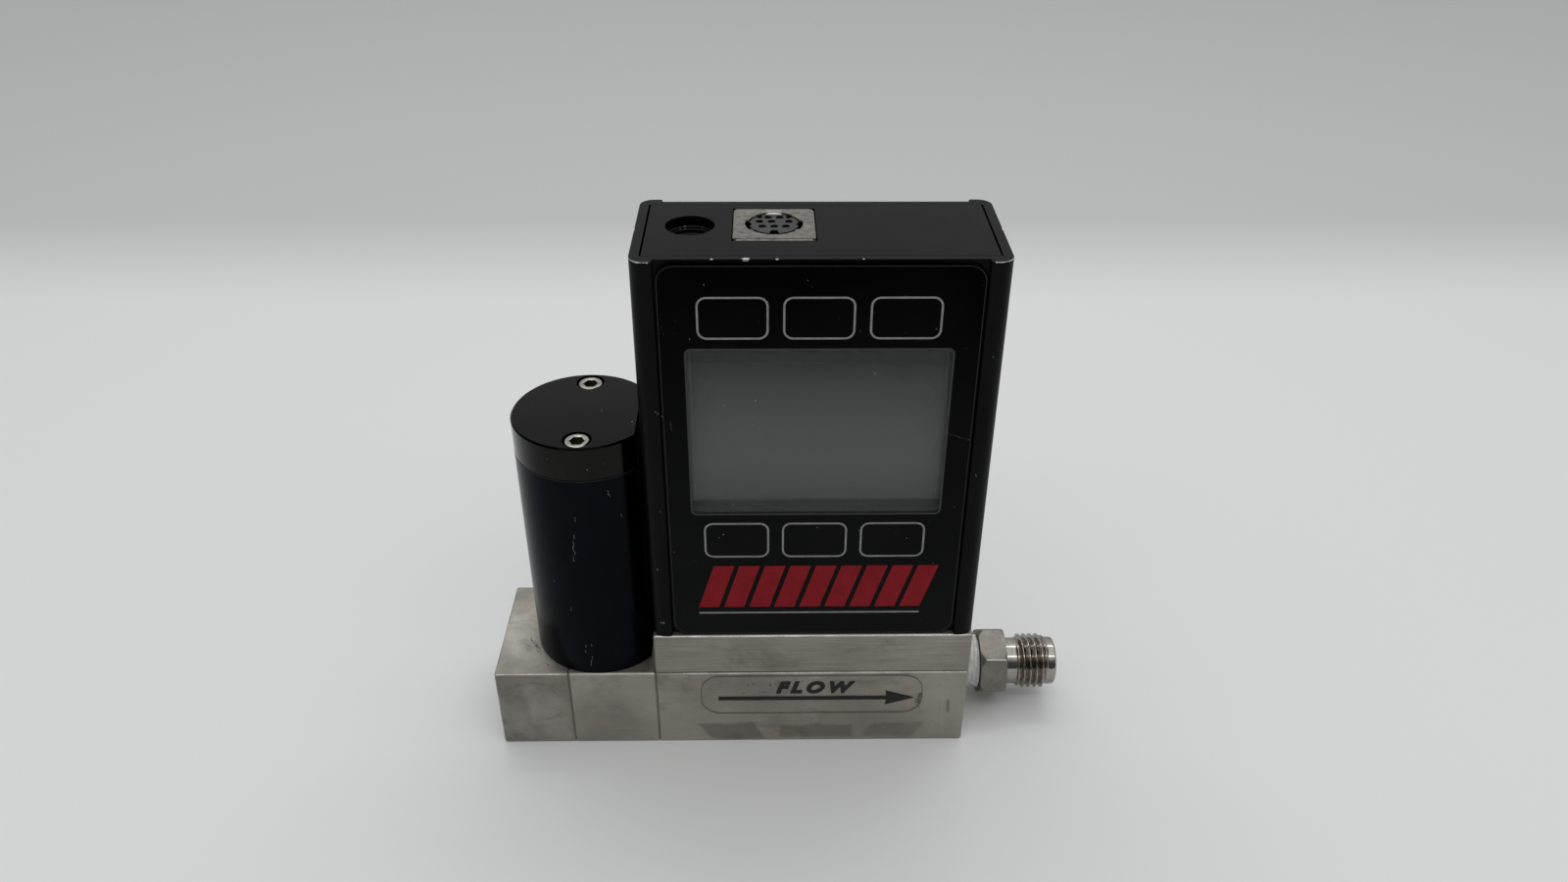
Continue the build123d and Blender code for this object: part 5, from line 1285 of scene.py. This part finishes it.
def makeFilmEdge(spec):
    chance = np.random.default_rng(3)
    path = frontOutline(labelLow, labelHigh, spec["inset"], spec["corner"], steps=12)
    meshes = [lineMesh("edge", path, spec["line"], labelBack, labelLow[1] - 0.012)]
    for x, z, size in spec["spots"]:
        meshes.append(flakeMesh((x, labelLow[1], z), (1, 0, 0), (0, 0, 1), size, size, 0.015, chance))
    for _ in range(spec["grains"]):
        x = spec["grainX"] + spec["spreadX"] * chance.standard_normal()
        z = spec["grainZ"] + spec["spreadZ"] * chance.standard_normal()
        if abs(z - spec["keptZ"]) < spec["keptReach"]:
            meshes.append(flakeMesh((x, labelLow[1], z), (1, 0, 0), (0, 0, 1), 0.2, 0.3, 0.012, chance, 7))
    addMarks("labelEdge", meshes, filmEdgeGrey, "label_film")


makeFilmEdge(film)


# Floor: pale and plain, a little darker far behind as painted shade standing in for the dimmer back of the studio.
studio = {
    "floorReach": 3.0, "floorNear": (0.675, 0.685, 0.685), "floorFar": (0.5, 0.505, 0.505),
    "darkStart": 0.19, "darkEnd": 0.26, "up": 0.82, "level": 0.46, "front": 0.16,
    "softbox": 0.8, "softboxSize": (0.9, 0.9), "softboxPlace": (0.0, 0.12, 0.75), "softboxTilt": -9,
    "strip": 0.52, "stripSize": (0.7, 0.06), "stripX": 0.03, "strips": ((0.25, 0.58, -23), (-0.3, 0.55, 28)),
}
floorMesh = bpy.data.meshes.new("floor")
reach = studio["floorReach"]
floorMesh.from_pydata([(-reach, -reach, 0), (reach, -reach, 0), (reach, reach, 0), (-reach, reach, 0)], [], [(0, 1, 2, 3)])
floor = addObject("floor", floorMesh)
floorPaint, floorShader = newMaterial("pale floor", roughness=0.7, specular=0.15)
backness = remap(floorPaint, axisOf(floorPaint, "Y"), studio["darkStart"], studio["darkEnd"])
setColour(floorPaint, floorShader, mixColour(floorPaint, backness, studio["floorNear"], studio["floorFar"]))
floorMesh.materials.append(floorPaint)

# Soft surroundings: bright overhead, middling at the sides and back, dim towards the front.
world = bpy.data.worlds.new("soft surroundings")
bpy.context.scene.world = world
world.use_nodes = True
world.node_tree.nodes.clear()
direction = addNode(world, "ShaderNodeTexCoord")
parts = addNode(world, "ShaderNodeSeparateXYZ")
join(world, direction.outputs["Generated"], parts.inputs["Vector"])
soft = {"interpolation_type": "SMOOTHSTEP"}
upward = remap(world, parts.outputs["Z"], 0.0, 0.75, studio["level"], studio["up"], **soft)
frontward = remap(world, parts.outputs["Y"], -0.85, -0.2, studio["front"], 1.0, **soft)
overhead = remap(world, parts.outputs["Z"], 0.45, 0.8, 0.0, 1.0, **soft)
background = addNode(world, "ShaderNodeBackground")
light = calculate(world, "MULTIPLY", upward, calculate(world, "MAXIMUM", frontward, overhead))
join(world, light, background.inputs["Color"])
join(world, background.outputs["Background"], addNode(world, "ShaderNodeOutputWorld").inputs["Surface"])


# Rectangular area lamp, tilted about the X axis.
def addLamp(name, size, energy, place, tilt):
    lamp = bpy.data.lights.new(name, "AREA")
    lamp.shape = "RECTANGLE"
    lamp.size, lamp.size_y = size
    lamp.energy = energy
    holder = addObject(name, lamp)
    holder.location = place
    holder.rotation_euler = (radians(tilt), 0, 0)


addLamp("overhead softbox", studio["softboxSize"], studio["softbox"], studio["softboxPlace"], studio["softboxTilt"])
# Two long narrow lamps, behind and in front of overhead, for the bright rows on turned metal.
for away, height, tilt in studio["strips"]:
    addLamp("strip lamp", studio["stripSize"], studio["strip"], (studio["stripX"], away, height), tilt)

# Camera: above and in front, looking down at the controller.
cameraSetup = {"place": (-3.396, -187.225, 183.113), "turn": (57.4016, -0.2980, -0.8675), "lens": 27.776}
cameraData = bpy.data.cameras.new("camera")
cameraData.sensor_width = 36
cameraData.lens = cameraSetup["lens"]
cameraData.clip_start = 0.01
camera = addObject("camera", cameraData)
camera.location = [part * mm for part in cameraSetup["place"]]
camera.rotation_euler = [radians(angle) for angle in cameraSetup["turn"]]
bpy.context.scene.camera = camera
bpy.context.scene.view_settings.view_transform = "Standard"
print("lights and camera placed")
